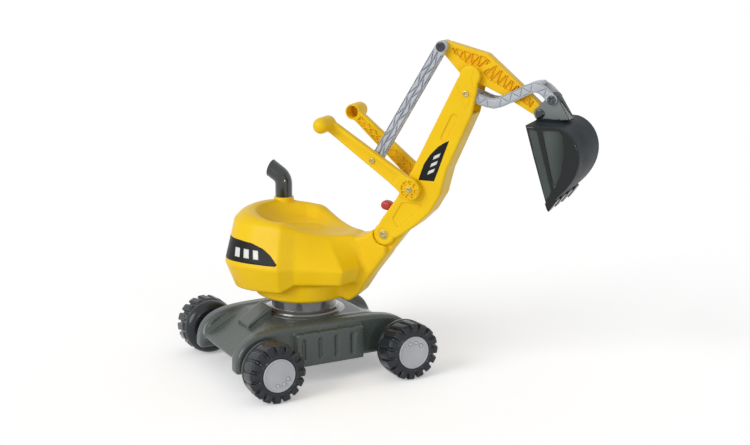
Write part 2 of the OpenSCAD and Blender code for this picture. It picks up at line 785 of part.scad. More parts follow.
// Points on a cubic curve with four control points
function curve(p, t) = pow(1 - t, 3) * p[0] + 3 * t * pow(1 - t, 2) * p[1]
    + 3 * t * t * (1 - t) * p[2] + pow(t, 3) * p[3];
function curve_points(p, steps) = [for (i = [0 : steps]) curve(p, i / steps)];

// Bucket profile: mouth from the top lip to the cutting edge, round back
mouth_top = [518, 575];
cutting_edge = [563, 420];
back_curve = [[576, 574], [622, 566], [659, 489], cutting_edge];
inner_curve = [[574, 570], [618, 562], [653.5, 490], cutting_edge + [-3, 2]];
bucket_side_t = 5;
side_panel_deep = 2.4;
module bucket() {
    half = bucket_w / 2;
    color(black) difference() {
        union() {
            difference() {
                intersection() {
                    plate(-half - 1, half + 1)
                        polygon(concat([mouth_top], curve_points(back_curve, 20)));
                    between_sides(0);
                }
                intersection() {
                    plate(-half - 1, half + 1)
                        polygon(concat([[490, 566], mouth_top + [2, -4]], curve_points(inner_curve, 20),
                            [[520, 420]]));
                    between_sides(bucket_side_t);
                }
                edge_gaps();
            }
            both_sides() plate(lug_in, lug_out) bucket_lug();
            bucket_teeth();
        }
        difference() {
            plate(-half - 1, half + 1) bucket_side_panels();
            between_sides(side_panel_deep);
        }
        bar_y(bucket_pivot, pin_r, -60, 60);
        bar_y(bucket_link_pivot, screw_r, -60, 60);
    }
}

// Room between the leaning sides of the bucket, set in by a distance
lean_from = 535;
lean_to = 635;
module between_sides(in) {
    half = bucket_w / 2 - in;
    back_half = half - (lean_to - lean_from) * tan(bucket_lean);
    translate([0, 0, 380])
        linear_extrude(260)
            polygon([[480, -half], [lean_from, -half], [lean_to, -back_half], [lean_to, back_half],
                [lean_from, half], [480, half]]);
}

module bucket_lug() {
    translate(bucket_pivot) circle(r = 13);
    translate(bucket_link_pivot) circle(r = 11);
    polygon([bucket_pivot + [-12, 4], bucket_link_pivot + [-9, 6], bucket_link_pivot + [10, 4], [586, 579],
        [530, 566], bucket_pivot + [-11, -8]]);
}

// Sunk panels of a side: a strip along the mouth and a field behind it
module bucket_side_panels() {
    polygon([[525, 569], [541, 566.5], [571.5, 449], [564, 434], [560.5, 434]]);
    polygon([[551, 567], [583, 568], [591, 558], [595, 526], [590, 485], [577.4, 452.4]]);
}

// Teeth: tongues under the back that run out past the cutting edge, with gaps cut between them
tooth_count = 4;
tooth_l = 13;
tooth_half_w = 13;
tooth_inset = 20;
edge_gap_half_w = 9;
function tooth_y(i) =
    -bucket_w / 2 + tooth_inset + i * (bucket_w - 2 * tooth_inset) / (tooth_count - 1);

module bucket_teeth() {
    for (i = [0 : tooth_count - 1])
        plate(tooth_y(i) - tooth_half_w, tooth_y(i) + tooth_half_w)
            polygon([for (p = [[-4, 4], [0.5, 1 - tooth_l], [3.5, 0.4 - tooth_l], [21, 12], [16, 14]])
                cutting_edge + p]);
}

module edge_gaps() {
    for (i = [0 : tooth_count - 2])
        plate(tooth_y(i + 0.5) - edge_gap_half_w, tooth_y(i + 0.5) + edge_gap_half_w)
            polygon([cutting_edge + [20, -10], cutting_edge + [-4, 22], cutting_edge + [-28, 10],
                cutting_edge + [-3, -25]]);
}

module bucket_pin() {
    color(black) {
        bar_y(bucket_pivot, pin_r, -lug_out - 1, lug_out + 1);
        both_sides() bar_y(bucket_pivot, 11, lug_out, lug_out + 4);
    }
}

module link_bucket_pin() {
    color(steel) {
        bar_y(bucket_link_pivot, screw_r, -link_out - 1, link_out + 1);
        both_sides() bar_y(bucket_link_pivot, 9, link_out + gap, link_out + 3);
    }
}

// Red catch at the rear of the boom, with a thumb tab and a nose over the tenon
lock_at = in_arm(64, 8);
module lock_lever() {
    color("firebrick") difference() {
        union() {
            plate(-8, 8) {
                translate(lock_at) circle(r = 6);
                polygon([in_arm(64, 13), in_arm(64, 3), in_arm(46.5, 3), in_arm(46.5, 12)]);
                stroke([in_arm(55, 14), in_arm(47, 31)], 11);
            }
            plate(-11, 11) stroke([in_arm(47.5, 30), in_arm(45.5, 35)], 19);
        }
        bar_y(lock_at, lock_pin_r + running, -30, 30);
    }
}

module lock_pin() {
    color(steel) bar_y(lock_at, lock_pin_r, -boom_half + 2, boom_half - 2);
}

// Leaf spring that pushes the catch home
spring_half_w = 5;
module lock_spring() {
    color(steel) plate(-spring_half_w, spring_half_w)
        polygon([in_arm(72, -0.5), in_arm(72, -1.5), in_arm(44, -1.5), in_arm(44, -0.5)]);
}

chassis_shell();
turntable_ring();
swivel_bolt();
swivel_nut();
front_axle();
rear_axle();
axle_retainers();
axle_spacers();
wheel_front_left();
wheel_front_right();
wheel_rear_left();
wheel_rear_right();
hub_cap_front_left();
hub_cap_front_right();
hub_cap_rear_left();
hub_cap_rear_right();
house_shell();
exhaust_pipe();
boom_shell();
boom_pivot_bolt();
boom_pivot_nut();
lever_right();
lever_left();
lever_pivot_bolt();
lever_pivot_nut();
strut();
strut_lower_screw();
strut_upper_bolt();
dipper();
dipper_pin();
bucket_link();
link_pivot_screw();
bucket();
bucket_pin();
link_bucket_pin();
lock_lever();
lock_pin();
lock_spring();
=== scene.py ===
import json
import math

import bpy
import numpy as np
from mathutils import Matrix, Vector
from mathutils.bvhtree import BVHTree


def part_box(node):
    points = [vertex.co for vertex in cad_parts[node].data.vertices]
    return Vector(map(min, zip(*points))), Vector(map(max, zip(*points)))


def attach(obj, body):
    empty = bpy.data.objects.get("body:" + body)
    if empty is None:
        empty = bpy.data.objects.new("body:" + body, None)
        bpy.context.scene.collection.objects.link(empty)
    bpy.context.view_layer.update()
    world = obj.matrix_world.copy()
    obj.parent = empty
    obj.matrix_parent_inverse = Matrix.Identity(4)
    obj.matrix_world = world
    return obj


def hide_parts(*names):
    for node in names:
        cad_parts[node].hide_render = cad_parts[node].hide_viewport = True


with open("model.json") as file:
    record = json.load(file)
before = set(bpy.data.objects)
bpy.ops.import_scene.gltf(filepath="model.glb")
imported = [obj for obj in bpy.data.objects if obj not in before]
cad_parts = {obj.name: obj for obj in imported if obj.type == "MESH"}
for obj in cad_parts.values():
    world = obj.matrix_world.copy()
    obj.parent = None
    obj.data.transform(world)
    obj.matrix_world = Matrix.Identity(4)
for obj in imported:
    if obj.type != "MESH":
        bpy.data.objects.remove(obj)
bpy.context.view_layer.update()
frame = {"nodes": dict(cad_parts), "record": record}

MM = 0.001

# Sizes of the CAD model, in millimetres; points in the arm's plane are (x, z)
CHASSIS_YAW = math.radians(51)
WHEELBASE, WHEEL_OUT, WHEEL_W = 311, 215, 76
TYRE_R, TREAD_R, HUB_R, AXLE_R, LUGS = 61.5, 57.0, 35.0, 5.1, 16
LEG_OUT, LEG_IN, LEG_LOW, HALF_L = 118, 88, 39, 209
BOOM_PIVOT, LEVER_PIVOT = np.array([200.0, 316.0]), np.array([263.5, 419.5])
DIPPER_PIVOT, STRUT_TOP = np.array([383.0, 655.0]), np.array([322.0, 711.0])
LINK_PIVOT, BUCKET_PIVOT = np.array([376.0, 620.0]), np.array([526.0, 588.0])
BUCKET_LINK = np.array([550.0, 617.0])
# Each hand lever's length, rise and side
LEVERS = {"right": (223, math.radians(33.6), -1), "left": (212, math.radians(41), 1)}
STRUT_CRANK = 98
STRUT_LOW = LEVER_PIVOT + STRUT_CRANK * np.array([-math.cos(LEVERS["right"][1]), math.sin(LEVERS["right"][1])])
BOOM_HALF, TENON_HALF, CLEVIS_HALF, HEAD_SLOT_HALF, DIPPER_HALF = 29, 18.5, 19, 22.6, 12
ARM_DIR = (LEVER_PIVOT - BOOM_PIVOT) / np.linalg.norm(LEVER_PIVOT - BOOM_PIVOT)
ARM_SIDE = np.array([-ARM_DIR[1], ARM_DIR[0]])
EXHAUST_AT = (-85, 80)

FAR, TINY = 1e12, 1e-9


def in_arm(along, across):
    """A point measured from the boom's pivot, along its lower part."""
    return BOOM_PIVOT + along * ARM_DIR + across * ARM_SIDE


# Distance fields, in millimetres, negative inside; a last radius rounds the edge between two shapes.
# A corner's rounding takes up at most this share of a side
CORNER_SHARE, SHARPEST = 0.45, 0.05


def fillet(points, r, steps=4):
    """The closed outline with its corners rounded."""
    pts = [np.asarray(p, float) for p in points]
    made = []
    for i, p in enumerate(pts):
        a, b = pts[i - 1] - p, pts[(i + 1) % len(pts)] - p
        la, lb = np.linalg.norm(a), np.linalg.norm(b)
        turn = math.acos(max(-1, min(1, a @ b / la / lb)))
        cut = min(r / math.tan(max(turn, SHARPEST) / 2), CORNER_SHARE * la, CORNER_SHARE * lb)
        start, end = p + a / la * cut, p + b / lb * cut
        for k in range(steps + 1):
            t = k / steps
            made.append((1 - t) ** 2 * start + 2 * t * (1 - t) * p + t * t * end)
    return made


def polygon(a, b, points):
    """A closed outline."""
    best, inside = FAR, False
    for i, (x1, y1) in enumerate(points):
        x0, y0 = points[i - 1]
        dx, dy = float(x1 - x0), float(y1 - y0)
        if dx * dx + dy * dy < TINY:
            continue
        t = np.clip(((a - x0) * dx + (b - y0) * dy) / (dx * dx + dy * dy), 0, 1)
        best = np.minimum(best, (a - x0 - t * dx) ** 2 + (b - y0 - t * dy) ** 2)
        if abs(dy) > TINY:
            inside = inside ^ (((y0 > b) != (y1 > b)) & (a < dx * (b - y0) / dy + x0))
    return np.sqrt(best) * np.where(inside, -1, 1)


def disc(a, b, at, r):
    return np.sqrt((a - at[0]) ** 2 + (b - at[1]) ** 2) - r


def stroke(a, b, points, w):
    """A line through points, as wide as w."""
    best = FAR
    for (x0, y0), (x1, y1) in zip(points[:-1], points[1:]):
        dx, dy = x1 - x0, y1 - y0
        t = np.clip(((a - x0) * dx + (b - y0) * dy) / max(dx * dx + dy * dy, TINY), 0, 1)
        best = np.minimum(best, (a - x0 - t * dx) ** 2 + (b - y0 - t * dy) ** 2)
    return np.sqrt(best) - w / 2


def zigzag(low, high, count):
    """Points that run from line to line and back while they go along both."""
    low, high = np.array(low, float), np.array(high, float)
    ends = [low if i % 2 == 0 else high for i in range(count + 1)]
    return [e[0] + (e[1] - e[0]) * i / count for i, e in enumerate(ends)]


def both(a, b, r=0.0):
    """What two shapes share, with a rounded edge."""
    if r == 0:
        return np.maximum(a, b)
    return np.minimum(np.maximum(a, b), -r) + np.sqrt(np.maximum(a + r, 0) ** 2 + np.maximum(b + r, 0) ** 2)


def join(a, b, r=0.0):
    """Two shapes in one, with a filleted inner corner."""
    return -both(-a, -b, r)


def cut(a, b, r=0.0):
    """The first shape without the second."""
    return both(a, -b, r)


def span(y, y0, y1):
    return np.abs(y - (y0 + y1) / 2) - (y1 - y0) / 2


def slab(flat, y, y0, y1, r=0.0):
    """A flat shape as a plate from y0 to y1."""
    return both(flat, span(y, y0, y1), r)


def soften(d, passes):
    """The field blurred, so that all edges turn round."""
    for _ in range(passes):
        for axis in range(3):
            e = np.pad(d, [(1, 1) if i == axis else (0, 0) for i in range(3)], mode="edge")
            n = d.shape[axis]
            d = 0.5 * d + 0.25 * (e.take(range(n), axis) + e.take(range(2, n + 2), axis))
    return d


# Meshes
BORDER_CELLS = 1.5


def net(field, low, high, cell):
    """Points and quads of the zero level of a field inside a box, by surface nets."""
    border = BORDER_CELLS * cell
    axes = [np.arange(a - border, b + border, cell, dtype=np.float32) for a, b in zip(low, high)]
    d = field(axes[0][:, None, None], axes[1][None, :, None], axes[2][None, None, :])
    d = np.broadcast_to(d, [len(a) for a in axes]).astype(np.float32)
    inside = d < 0
    step = np.array([d.shape[1] * d.shape[2], d.shape[2], 1])
    keys, points, quads = [], [], []
    for axis in range(3):
        u, v = step[(axis + 1) % 3], step[(axis + 2) % 3]
        n = d.shape[axis]
        at = np.argwhere(inside.take(range(n - 1), axis) != inside.take(range(1, n), axis))
        if not len(at):
            continue
        after = at.copy()
        after[:, axis] += 1
        a, b = d[tuple(at.T)], d[tuple(after.T)]
        p = at.astype(np.float64)
        p[:, axis] += a / (a - b)
        flat = at @ step
        quad = np.stack([flat, flat - u, flat - u - v, flat - v], 1)
        keys.append(quad.ravel())
        points.append(np.repeat(p, 4, 0))
        quads.append(np.where((a > 0)[:, None], quad[:, ::-1], quad))
    keys, points = np.concatenate(keys), np.concatenate(points)
    used, where, count = np.unique(keys, return_inverse=True, return_counts=True)
    spots = np.stack([np.bincount(where, points[:, i]) / count for i in range(3)], 1)
    start = np.array([a[0] for a in axes])
    return spots * cell + start, np.searchsorted(used, np.concatenate(quads))


def add(name, data):
    """A new object in the scene."""
    obj = bpy.data.objects.new(name, data)
    bpy.context.scene.collection.objects.link(obj)
    return obj


def make(name, points, faces, material, matrix=None, keep=1.0):
    """A smooth mesh object from points in millimetres."""
    mesh = bpy.data.meshes.new(name)
    mesh.from_pydata(np.asarray(points, float) * MM, [], [list(map(int, f)) for f in faces])
    mesh.validate()
    obj = add(name, mesh)
    if keep < 1:
        thin = obj.modifiers.new("thin", "DECIMATE")
        thin.ratio = keep
        bpy.context.view_layer.update()
        reduced = bpy.data.meshes.new_from_object(obj.evaluated_get(bpy.context.evaluated_depsgraph_get()))
        obj.modifiers.clear()
        obj.data = reduced
        bpy.data.meshes.remove(mesh)
        obj.data.name = name
    obj.data.shade_smooth()
    obj.data.materials.clear()
    obj.data.materials.append(material)
    if matrix is not None:
        obj.data.transform(matrix)
    return obj


def put(obj, body, slot, *nodes):
    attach(obj, body)
    if nodes:
        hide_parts(*nodes)
    return obj


def solid(name, field, low, high, cell, material, matrix=None, keep=0.4):
    points, faces = net(field, low, high, cell)
    return make(name, points, faces, material, matrix, keep)


def grow(cad_node, by=1.5):
    """A CAD node's box in millimetres, a little larger."""
    low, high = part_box(cad_node)
    return [c / MM - by for c in low], [c / MM + by for c in high]


def moulding(name, field, cad_node, cell, material, body, slot):
    """A detailed piece in place of a CAD node, made inside that node's box."""
    low, high = grow(cad_node)
    return put(solid(name, field, low, high, cell, material), body, slot, cad_node)


def rings(name, loops, material, closed=False):
    """A skin over rings of points; ends are capped, or joined to each other."""
    n, m = len(loops[0]), len(loops)
    points = [p for loop in loops for p in loop]
    faces = []
    for i in range(m if closed else m - 1):
        a, b = i * n, (i + 1) % m * n
        faces += [(a + j, a + (j + 1) % n, b + (j + 1) % n, b + j) for j in range(n)]
    if not closed:
        faces += [tuple(range(n))[::-1], tuple(range((m - 1) * n, m * n))]
    return make(name, points, faces, material)


def lathe(name, profile, material, turns=144):
    """A closed outline of (radius, height) turned about the Z axis."""
    ring = [(math.cos(2 * math.pi * j / turns), math.sin(2 * math.pi * j / turns)) for j in range(turns)]
    loops = [[(r * c, r * s, z) for c, s in ring] for r, z in profile]
    return rings(name, loops, material, closed=True)


# Materials

def fill(tree, made, inputs):
    """Links or sets a node's inputs."""
    for k, v in inputs.items():
        if isinstance(v, bpy.types.NodeSocket):
            tree.links.new(v, made.inputs[k])
        else:
            made.inputs[k].default_value = v


def node(tree, kind, inputs, **settings):
    made = tree.nodes.new("ShaderNode" + kind)
    for k, v in settings.items():
        setattr(made, k, v)
    fill(tree, made, inputs)
    return made


def blank(name):
    """A new material, its node tree and its shader."""
    material = bpy.data.materials.new(name)
    material.use_nodes = True
    return material, material.node_tree, material.node_tree.nodes["Principled BSDF"]


def plastic(name, colour, mottle_and_shade, worn, rough=(0.3, 0.42), grain=(900, 0.12), spec=0.5, coat=0.0, dust=None,
            shade_fade=None):
    """Moulded plastic with broad tone changes, fine grain, faint scuffs and painted shade in its inner corners.

    colour, the second tone and worn are the tones of faces, of broad mottling and of painted shade in inner corners,
    and of rubbed edges; rough is a range, grain a scale and a strength, dust a tone and its share on upward faces,
    and the last a stretch of X and the tone of painted shade beyond it.
    """
    material, t, shader = blank(name)
    place = node(t, "TexCoord", {}).outputs["Object"]
    broad = node(t, "TexNoise", {"Vector": place, "Scale": 14, "Detail": 4, "Roughness": 0.55})
    fine = node(t, "TexNoise", {"Vector": place, "Scale": grain[0], "Detail": 3, "Roughness": 0.6})
    flow = node(t, "Mapping", {"Vector": place, "Scale": (30, 200, 60), "Rotation": (0.3, 0.5, 0.2)})
    scuff = node(t, "TexNoise", {"Vector": flow.outputs[0], "Scale": 3, "Detail": 6, "Roughness": 0.7})
    point = node(t, "NewGeometry", {}).outputs["Pointiness"]

    def ranged(value, a, b, c=0.0, d=1.0):
        return node(t, "MapRange", {0: value, 1: a, 2: b, 3: c, 4: d}).outputs[0]

    def times(a, b):
        return node(t, "Math", {0: a, 1: b}, operation="MULTIPLY").outputs[0]

    def mixed(share, a, b):
        return node(t, "Mix", {0: share, 6: a, 7: b}, data_type="RGBA").outputs[2]

    hollow_shade = ranged(point, 0.5, 0.455)
    edge = times(ranged(point, 0.53, 0.58), ranged(scuff.outputs[0], 0.45, 0.65))
    tone = mixed(ranged(broad.outputs[0], 0.35, 0.7, 0.0, 0.3), (*colour, 1), (*mottle_and_shade, 1))
    # Painted shade: inner corners, found by their low pointiness, take the second, darker tone
    tone = mixed(times(hollow_shade, 0.75), tone, (*mottle_and_shade, 1))
    tone = mixed(times(edge, 0.5), tone, (*worn, 1))
    if dust:
        up = node(t, "SeparateXYZ", {0: node(t, "NewGeometry", {}).outputs["Normal"]}).outputs[2]
        film = times(ranged(up, 0.3, 0.95), ranged(broad.outputs[0], 0.4, 0.75, 0.0, dust[3]))
        tone = mixed(film, tone, (*dust[:3], 1))
    # Painted shade: past the given stretch of X the tone fades to a darker one
    if shade_fade:
        across = node(t, "SeparateXYZ", {0: place}).outputs[0]
        tone = mixed(ranged(across, *shade_fade[:2]), tone, (*shade_fade[2], 1))
    mottled = node(t, "Math", {0: broad.outputs[0], 1: scuff.outputs[0]}, operation="ADD").outputs[0]
    bump = node(t, "Bump", {"Strength": grain[1], "Distance": 0.0004, "Height": fine.outputs[0]})
    fill(t, shader, {"Base Color": tone, "Roughness": ranged(mottled, 0.75, 1.3, *rough), "Normal": bump.outputs[0],
                     "Specular IOR Level": spec, "Coat Weight": coat, "Coat Roughness": 0.12})
    return material


def metal(name, colour, rough=(0.25, 0.45)):
    """Zinc-plated steel with fine turning marks and a little tarnish."""
    material, t, shader = blank(name)
    place = node(t, "TexCoord", {}).outputs["Object"]
    blot = node(t, "TexNoise", {"Vector": place, "Scale": 240, "Detail": 5})
    mark = node(t, "TexNoise", {"Vector": place, "Scale": 1500, "Detail": 2})
    ramp = node(t, "ValToRGB", {0: blot.outputs[0]})
    ramp.color_ramp.elements[0].position, ramp.color_ramp.elements[1].position = 0.3, 0.7
    ramp.color_ramp.elements[0].color = (*[c * 0.55 for c in colour], 1)
    ramp.color_ramp.elements[1].color = (*colour, 1)
    tone = node(t, "MapRange", {0: blot.outputs[0], 1: 0.3, 2: 0.7, 3: rough[1], 4: rough[0]})
    bump = node(t, "Bump", {"Strength": 0.1, "Distance": 0.0002, "Height": mark.outputs[0]})
    fill(t, shader, {"Base Color": ramp.outputs[0], "Roughness": tone.outputs[0], "Normal": bump.outputs[0],
                     "Metallic": 0.9})
    return material


YELLOW = plastic("yellow_moulding", (0.92, 0.6, 0.006), (0.8, 0.42, 0.004), (0.97, 0.76, 0.1),
                 rough=(0.3, 0.44), grain=(700, 0.1), spec=0.2)
RIBBED = plastic("yellow_ribbed", (0.93, 0.58, 0.006), (0.8, 0.38, 0.004), (0.98, 0.72, 0.08),
                 rough=(0.3, 0.44), grain=(900, 0.1), spec=0.2)
DARK = plastic("dark_moulding", (0.078, 0.096, 0.09), (0.038, 0.047, 0.044), (0.2, 0.21, 0.2),
               rough=(0.2, 0.36), grain=(800, 0.12), dust=(0.2, 0.19, 0.16, 0.2))
TYRE = plastic("tyre_moulding", (0.022, 0.026, 0.032), (0.008, 0.009, 0.011), (0.09, 0.095, 0.1),
               rough=(0.14, 0.3), grain=(600, 0.14), spec=0.32, dust=(0.1, 0.095, 0.085, 0.1))
HUB = plastic("hub_moulding", (0.52, 0.53, 0.56), (0.26, 0.27, 0.29), (0.72, 0.73, 0.75),
              rough=(0.32, 0.46), grain=(900, 0.1))
# Its second tone is near black, so grooves in the strut and link take a dark painted shade
GREY = plastic("grey_moulding", (0.55, 0.58, 0.63), (0.1, 0.11, 0.13), (0.7, 0.72, 0.76), rough=(0.32, 0.46))
BLACK = plastic("black_moulding", (0.016, 0.019, 0.021), (0.006, 0.007, 0.008), (0.07, 0.075, 0.08),
                rough=(0.05, 0.12), grain=(700, 0.04), coat=0.5)
BUCKET = plastic("bucket_moulding", (0.022, 0.029, 0.036), (0.008, 0.01, 0.012), (0.1, 0.11, 0.12),
                 rough=(0.34, 0.5), grain=(800, 0.12), spec=0.03)
# Copies of the one bucket plastic with light painted in: the darker rim copy is painted shade; the lighter strip,
# panel and lug-and-teeth copies are painted reflection, and the panel fades to painted shade towards the back
BUCKET_RIM_SHADE = plastic("bucket_rim_painted_shade", (0.006, 0.008, 0.009), (0.003, 0.004, 0.004), (0.05, 0.055, 0.06),
                     rough=(0.08, 0.16), grain=(800, 0.04), spec=0.12, coat=0.5)
BUCKET_STRIP_REFLECTION = plastic("bucket_strip_painted_reflection", (0.06, 0.078, 0.07), (0.03, 0.038, 0.035), (0.13, 0.15, 0.14),
                       rough=(0.34, 0.5), grain=(900, 0.16), spec=0.3)
BUCKET_PANEL_REFLECTION_SHADE = plastic("bucket_panel_painted_reflection_and_shade", (0.085, 0.104, 0.096), (0.05, 0.06, 0.056), (0.15, 0.17, 0.16),
                       rough=(0.34, 0.5), grain=(900, 0.16), spec=0.2, shade_fade=(0.565, 0.6, (0.018, 0.022, 0.021)))
BUCKET_REFLECTION = plastic("bucket_lug", (0.2, 0.22, 0.22), (0.06, 0.07, 0.07), (0.36, 0.38, 0.38),
              rough=(0.24, 0.4), grain=(800, 0.1))
PIPE = plastic("exhaust_moulding", (0.012, 0.017, 0.017), (0.005, 0.007, 0.007), (0.06, 0.07, 0.07),
               rough=(0.08, 0.16), grain=(600, 0.05), coat=0.6)
COLLAR = plastic("collar_moulding", (0.11, 0.115, 0.12), (0.04, 0.042, 0.044), (0.28, 0.29, 0.3),
                 rough=(0.1, 0.2), grain=(500, 0.05), spec=0.7, coat=0.8)
RED = plastic("red_moulding", (0.5, 0.035, 0.022), (0.28, 0.012, 0.01), (0.66, 0.13, 0.09),
              rough=(0.26, 0.4), grain=(900, 0.1))
STICKER = plastic("sticker_black", (0.014, 0.014, 0.014), (0.009, 0.009, 0.009), (0.06, 0.06, 0.06),
                  grain=(1200, 0.06), spec=0.12)
STRIPE = plastic("sticker_pale", (0.78, 0.78, 0.76), (0.62, 0.62, 0.6), (0.85, 0.85, 0.83), grain=(1200, 0.06))
STEEL = metal("zinc_steel", (0.62, 0.61, 0.58))
BRASSY = metal("yellow_zinc", (0.62, 0.5, 0.2))
DULL = metal("dull_steel", (0.11, 0.12, 0.14), (0.2, 0.4))

# House, rings from the underside over the rim to the seat. Each has its height on the bulge and on the side,
# the rise at the rear, the slope and curve towards the front, the rear and bulge reaches, the squareness of
# the rear, the angle of the bulge's edge, and the corners of the front half's plan, or its reach where round
HOUSE_RINGS = [
    (160, 160, 0, 0, 0, 84, 84, 2, 90, 84), (166, 166, 0, 0, 0, 104, 98, 2, 90, 99),
    (186, 202, -3, 0, 0, 112, 98, 2.3, 90, 106),
    (191, 208, -6, 3, 0, 136, 127, 3, 87, ((142, 42), (126, 85), (31.5, 112))),
    (243, 243, 0, 0, 0, 153, 141, 3.4, 87, ((152, 45), (133.5, 90), (33, 118))),
    (329, 329, 2, -30, 5, 141, 113, 3, 88, ((128, 31), (90, 52), (27, 95))),
    (335, 335, 11, -41, 12, 128, 106, 2.7, 95, ((121, 28), (84, 48), (25.5, 89.5))),
    (337, 337, 14, -45, 15, 113, 98, 2.5, 105, ((111, 25), (77, 44), (23.5, 83))),
    (333, 333, 16, -42, 14, 99, 88, 2.4, 110, ((96, 24), (68, 40), (21, 74))),
    (313, 313, 11, -11, 2, 76, 70, 2.2, 110, ((68, 22), (51, 32), (17.5, 59))),
    (304, 304, 0, 0, 0, 50, 48, 2.1, 90, 44), (301, 301, 0, 0, 0, 12, 12, 2, 90, 12)]
# Degrees from the front, where a ring leaves its height on the side for that on the bulge
STEP_FROM = 74


def plan_radius(angle, rear, bulge, p, edge, front):
    """A ring's reach from the swivel axis, at an angle from the front."""
    forward, across = np.cos(angle), np.sin(angle)
    reach = front if np.isscalar(front) else rear
    behind = ((np.abs(forward) / np.where(forward > 0, reach, rear)) ** p + (across / bulge) ** p) ** (-1 / p)
    if np.isscalar(front):
        return behind
    behind = np.where(forward > 0, bulge / np.maximum(across, 0.1), behind)
    turn = math.radians(edge)
    last = bulge / math.sin(turn) if edge <= 90 else (
        (-math.cos(turn) / rear) ** p + (math.sin(turn) / bulge) ** p) ** (-1 / p)
    corners = [(0, front[0][0])] + [(math.atan2(y, x), math.hypot(x, y)) for x, y in front] + [(turn, last)]
    made = behind
    for (u0, r0), (u1, r1) in zip(corners[:-1], corners[1:]):
        chord = r0 * r1 * math.sin(u1 - u0) / np.maximum(r0 * np.sin(angle - u0) + r1 * np.sin(u1 - angle), 1e-3)
        made = np.where((angle >= u0) & (angle < u1), chord, made)
    return made


def house_body(x, y, z):
    """The house without prow and tenon, by the rings' outline at each angle."""
    rho = np.maximum(np.sqrt(x * x + y * y), 1e-3)
    angle = np.arctan2(np.abs(y), x)
    forward = np.cos(angle)
    line = []
    for on_bulge, on_side, rise, slope, curve, rear, bulge, p, edge, front in HOUSE_RINGS:
        blend = np.clip((np.degrees(angle) - STEP_FROM) / (edge - STEP_FROM), 0, 1)
        level = on_side + (on_bulge - on_side) * blend
        level = level + np.where(forward > 0, (slope + curve * forward) * forward, rise * np.abs(forward) ** 1.5)
        line.append((plan_radius(angle, rear, bulge, p, edge, front), level))
    line = [(0 * line[0][0], line[0][1])] + line + [(0 * line[0][0], line[-1][1])]
    best, inside = np.float32(FAR), False
    for (r0, z0), (r1, z1) in zip(line[:-1], line[1:]):
        dr, dz = r1 - r0, z1 - z0
        t = np.clip(((rho - r0) * dr + (z - z0) * dz) / (dr * dr + dz * dz + TINY), 0, 1)
        best = np.minimum(best, (rho - r0 - t * dr) ** 2 + (z - z0 - t * dz) ** 2)
        flat = np.where(np.abs(dz) < 1e-6, 1e-6, dz)
        inside = inside ^ (((z0 > z) != (z1 > z)) & (rho < dr * (z - z0) / flat + r0))
    return np.sqrt(best) * np.where(inside, -1, 1)


PROW = [(40, 200), (112, 163), (121, 163), (143, 182), (168, 221), (205, 271), (205, 340), (174, 322), (150, 308),
        (128, 303), (40, 298)]
TENON = [(150, 230), (168, 221), (207, 274), (243.5, 321), (236, 334), (200, 316), (150, 300)]
PROW_HALF = 31
TENON_R, TENON_ROOM_R = 24, 24.7
TENON_ROOM = [BOOM_PIVOT + q for q in ((-5, 0), (-6, 60), (70, 60), (70, -30), (2, -25.5))]
PIPE_SEAT_R, PIPE_SEAT_LOW, PIPE_SEAT_TOP = 22, 322, 352


def house_field(x, y, z):
    d = house_body(x, y, z)
    d = join(d, slab(polygon(x, z, fillet(PROW, 8)), y, -PROW_HALF, PROW_HALF, 7), 9)
    d = soften(d, passes=3)
    seat = both(disc(x, y, EXHAUST_AT, PIPE_SEAT_R), np.maximum(PIPE_SEAT_LOW - z, z - PIPE_SEAT_TOP), 2)
    d = join(d, seat, 3)
    tip = np.minimum(polygon(x, z, TENON), disc(x, z, BOOM_PIVOT, TENON_R))
    d = join(d, slab(tip, y, -TENON_HALF, TENON_HALF, 2), 2)
    room = np.minimum(disc(x, z, BOOM_PIVOT, TENON_ROOM_R), polygon(x, z, TENON_ROOM))
    return cut(d, both(room, TENON_HALF - np.abs(y)), 1.5)


def exhaust():
    """Bent pipe with a rolled lip, open at its upper end, which is cut more upright than square."""
    outer, inner, sides = 19, 15.8, 64
    bend_r, bend_z, bend_by, bend_steps = 25, 380, math.radians(57), 14
    reach, slant = 21.5, 0.27
    lip = ((22.3, 19.4), (23.4, 19.1), (24, 18.3), (24, 17), (23.4, 16.2))
    spots = [((0, z), 0.0, 0.0) for z in (343, 352, 362, 371, bend_z)]
    for k in range(1, bend_steps + 1):
        a = bend_by * k / bend_steps
        spots.append(((-bend_r * (1 - math.cos(a)), bend_z + bend_r * math.sin(a)), a, 0.0))
    tip = np.array(spots[-1][0])
    way = np.array([-math.sin(bend_by), math.cos(bend_by)])
    spots += [(tuple(tip + way * s), bend_by, slant * s / reach) for s in (7, 14, 19, reach)]
    inside = spots[:9:-1]
    path = [(*spot, outer) for spot in spots]
    path += [(tuple(tip + way * s), bend_by, slant, r) for s, r in lip]
    path += [(*spot, inner) for spot in inside]
    loops = []
    for (px, pz), a, lean, r in path:
        loop = []
        for q in np.linspace(0, 2 * math.pi, sides, endpoint=False):
            across, ahead = r * math.cos(q), r * math.cos(q) * lean
            loop.append((EXHAUST_AT[0] + px + across * math.cos(a) - ahead * math.sin(a),
                         EXHAUST_AT[1] + r * math.sin(q),
                         pz + across * math.sin(a) + ahead * math.cos(a)))
        loops.append(loop)
    put(rings("exhaust_stack", loops, PIPE), "house", "black_plastic", "exhaust_pipe")


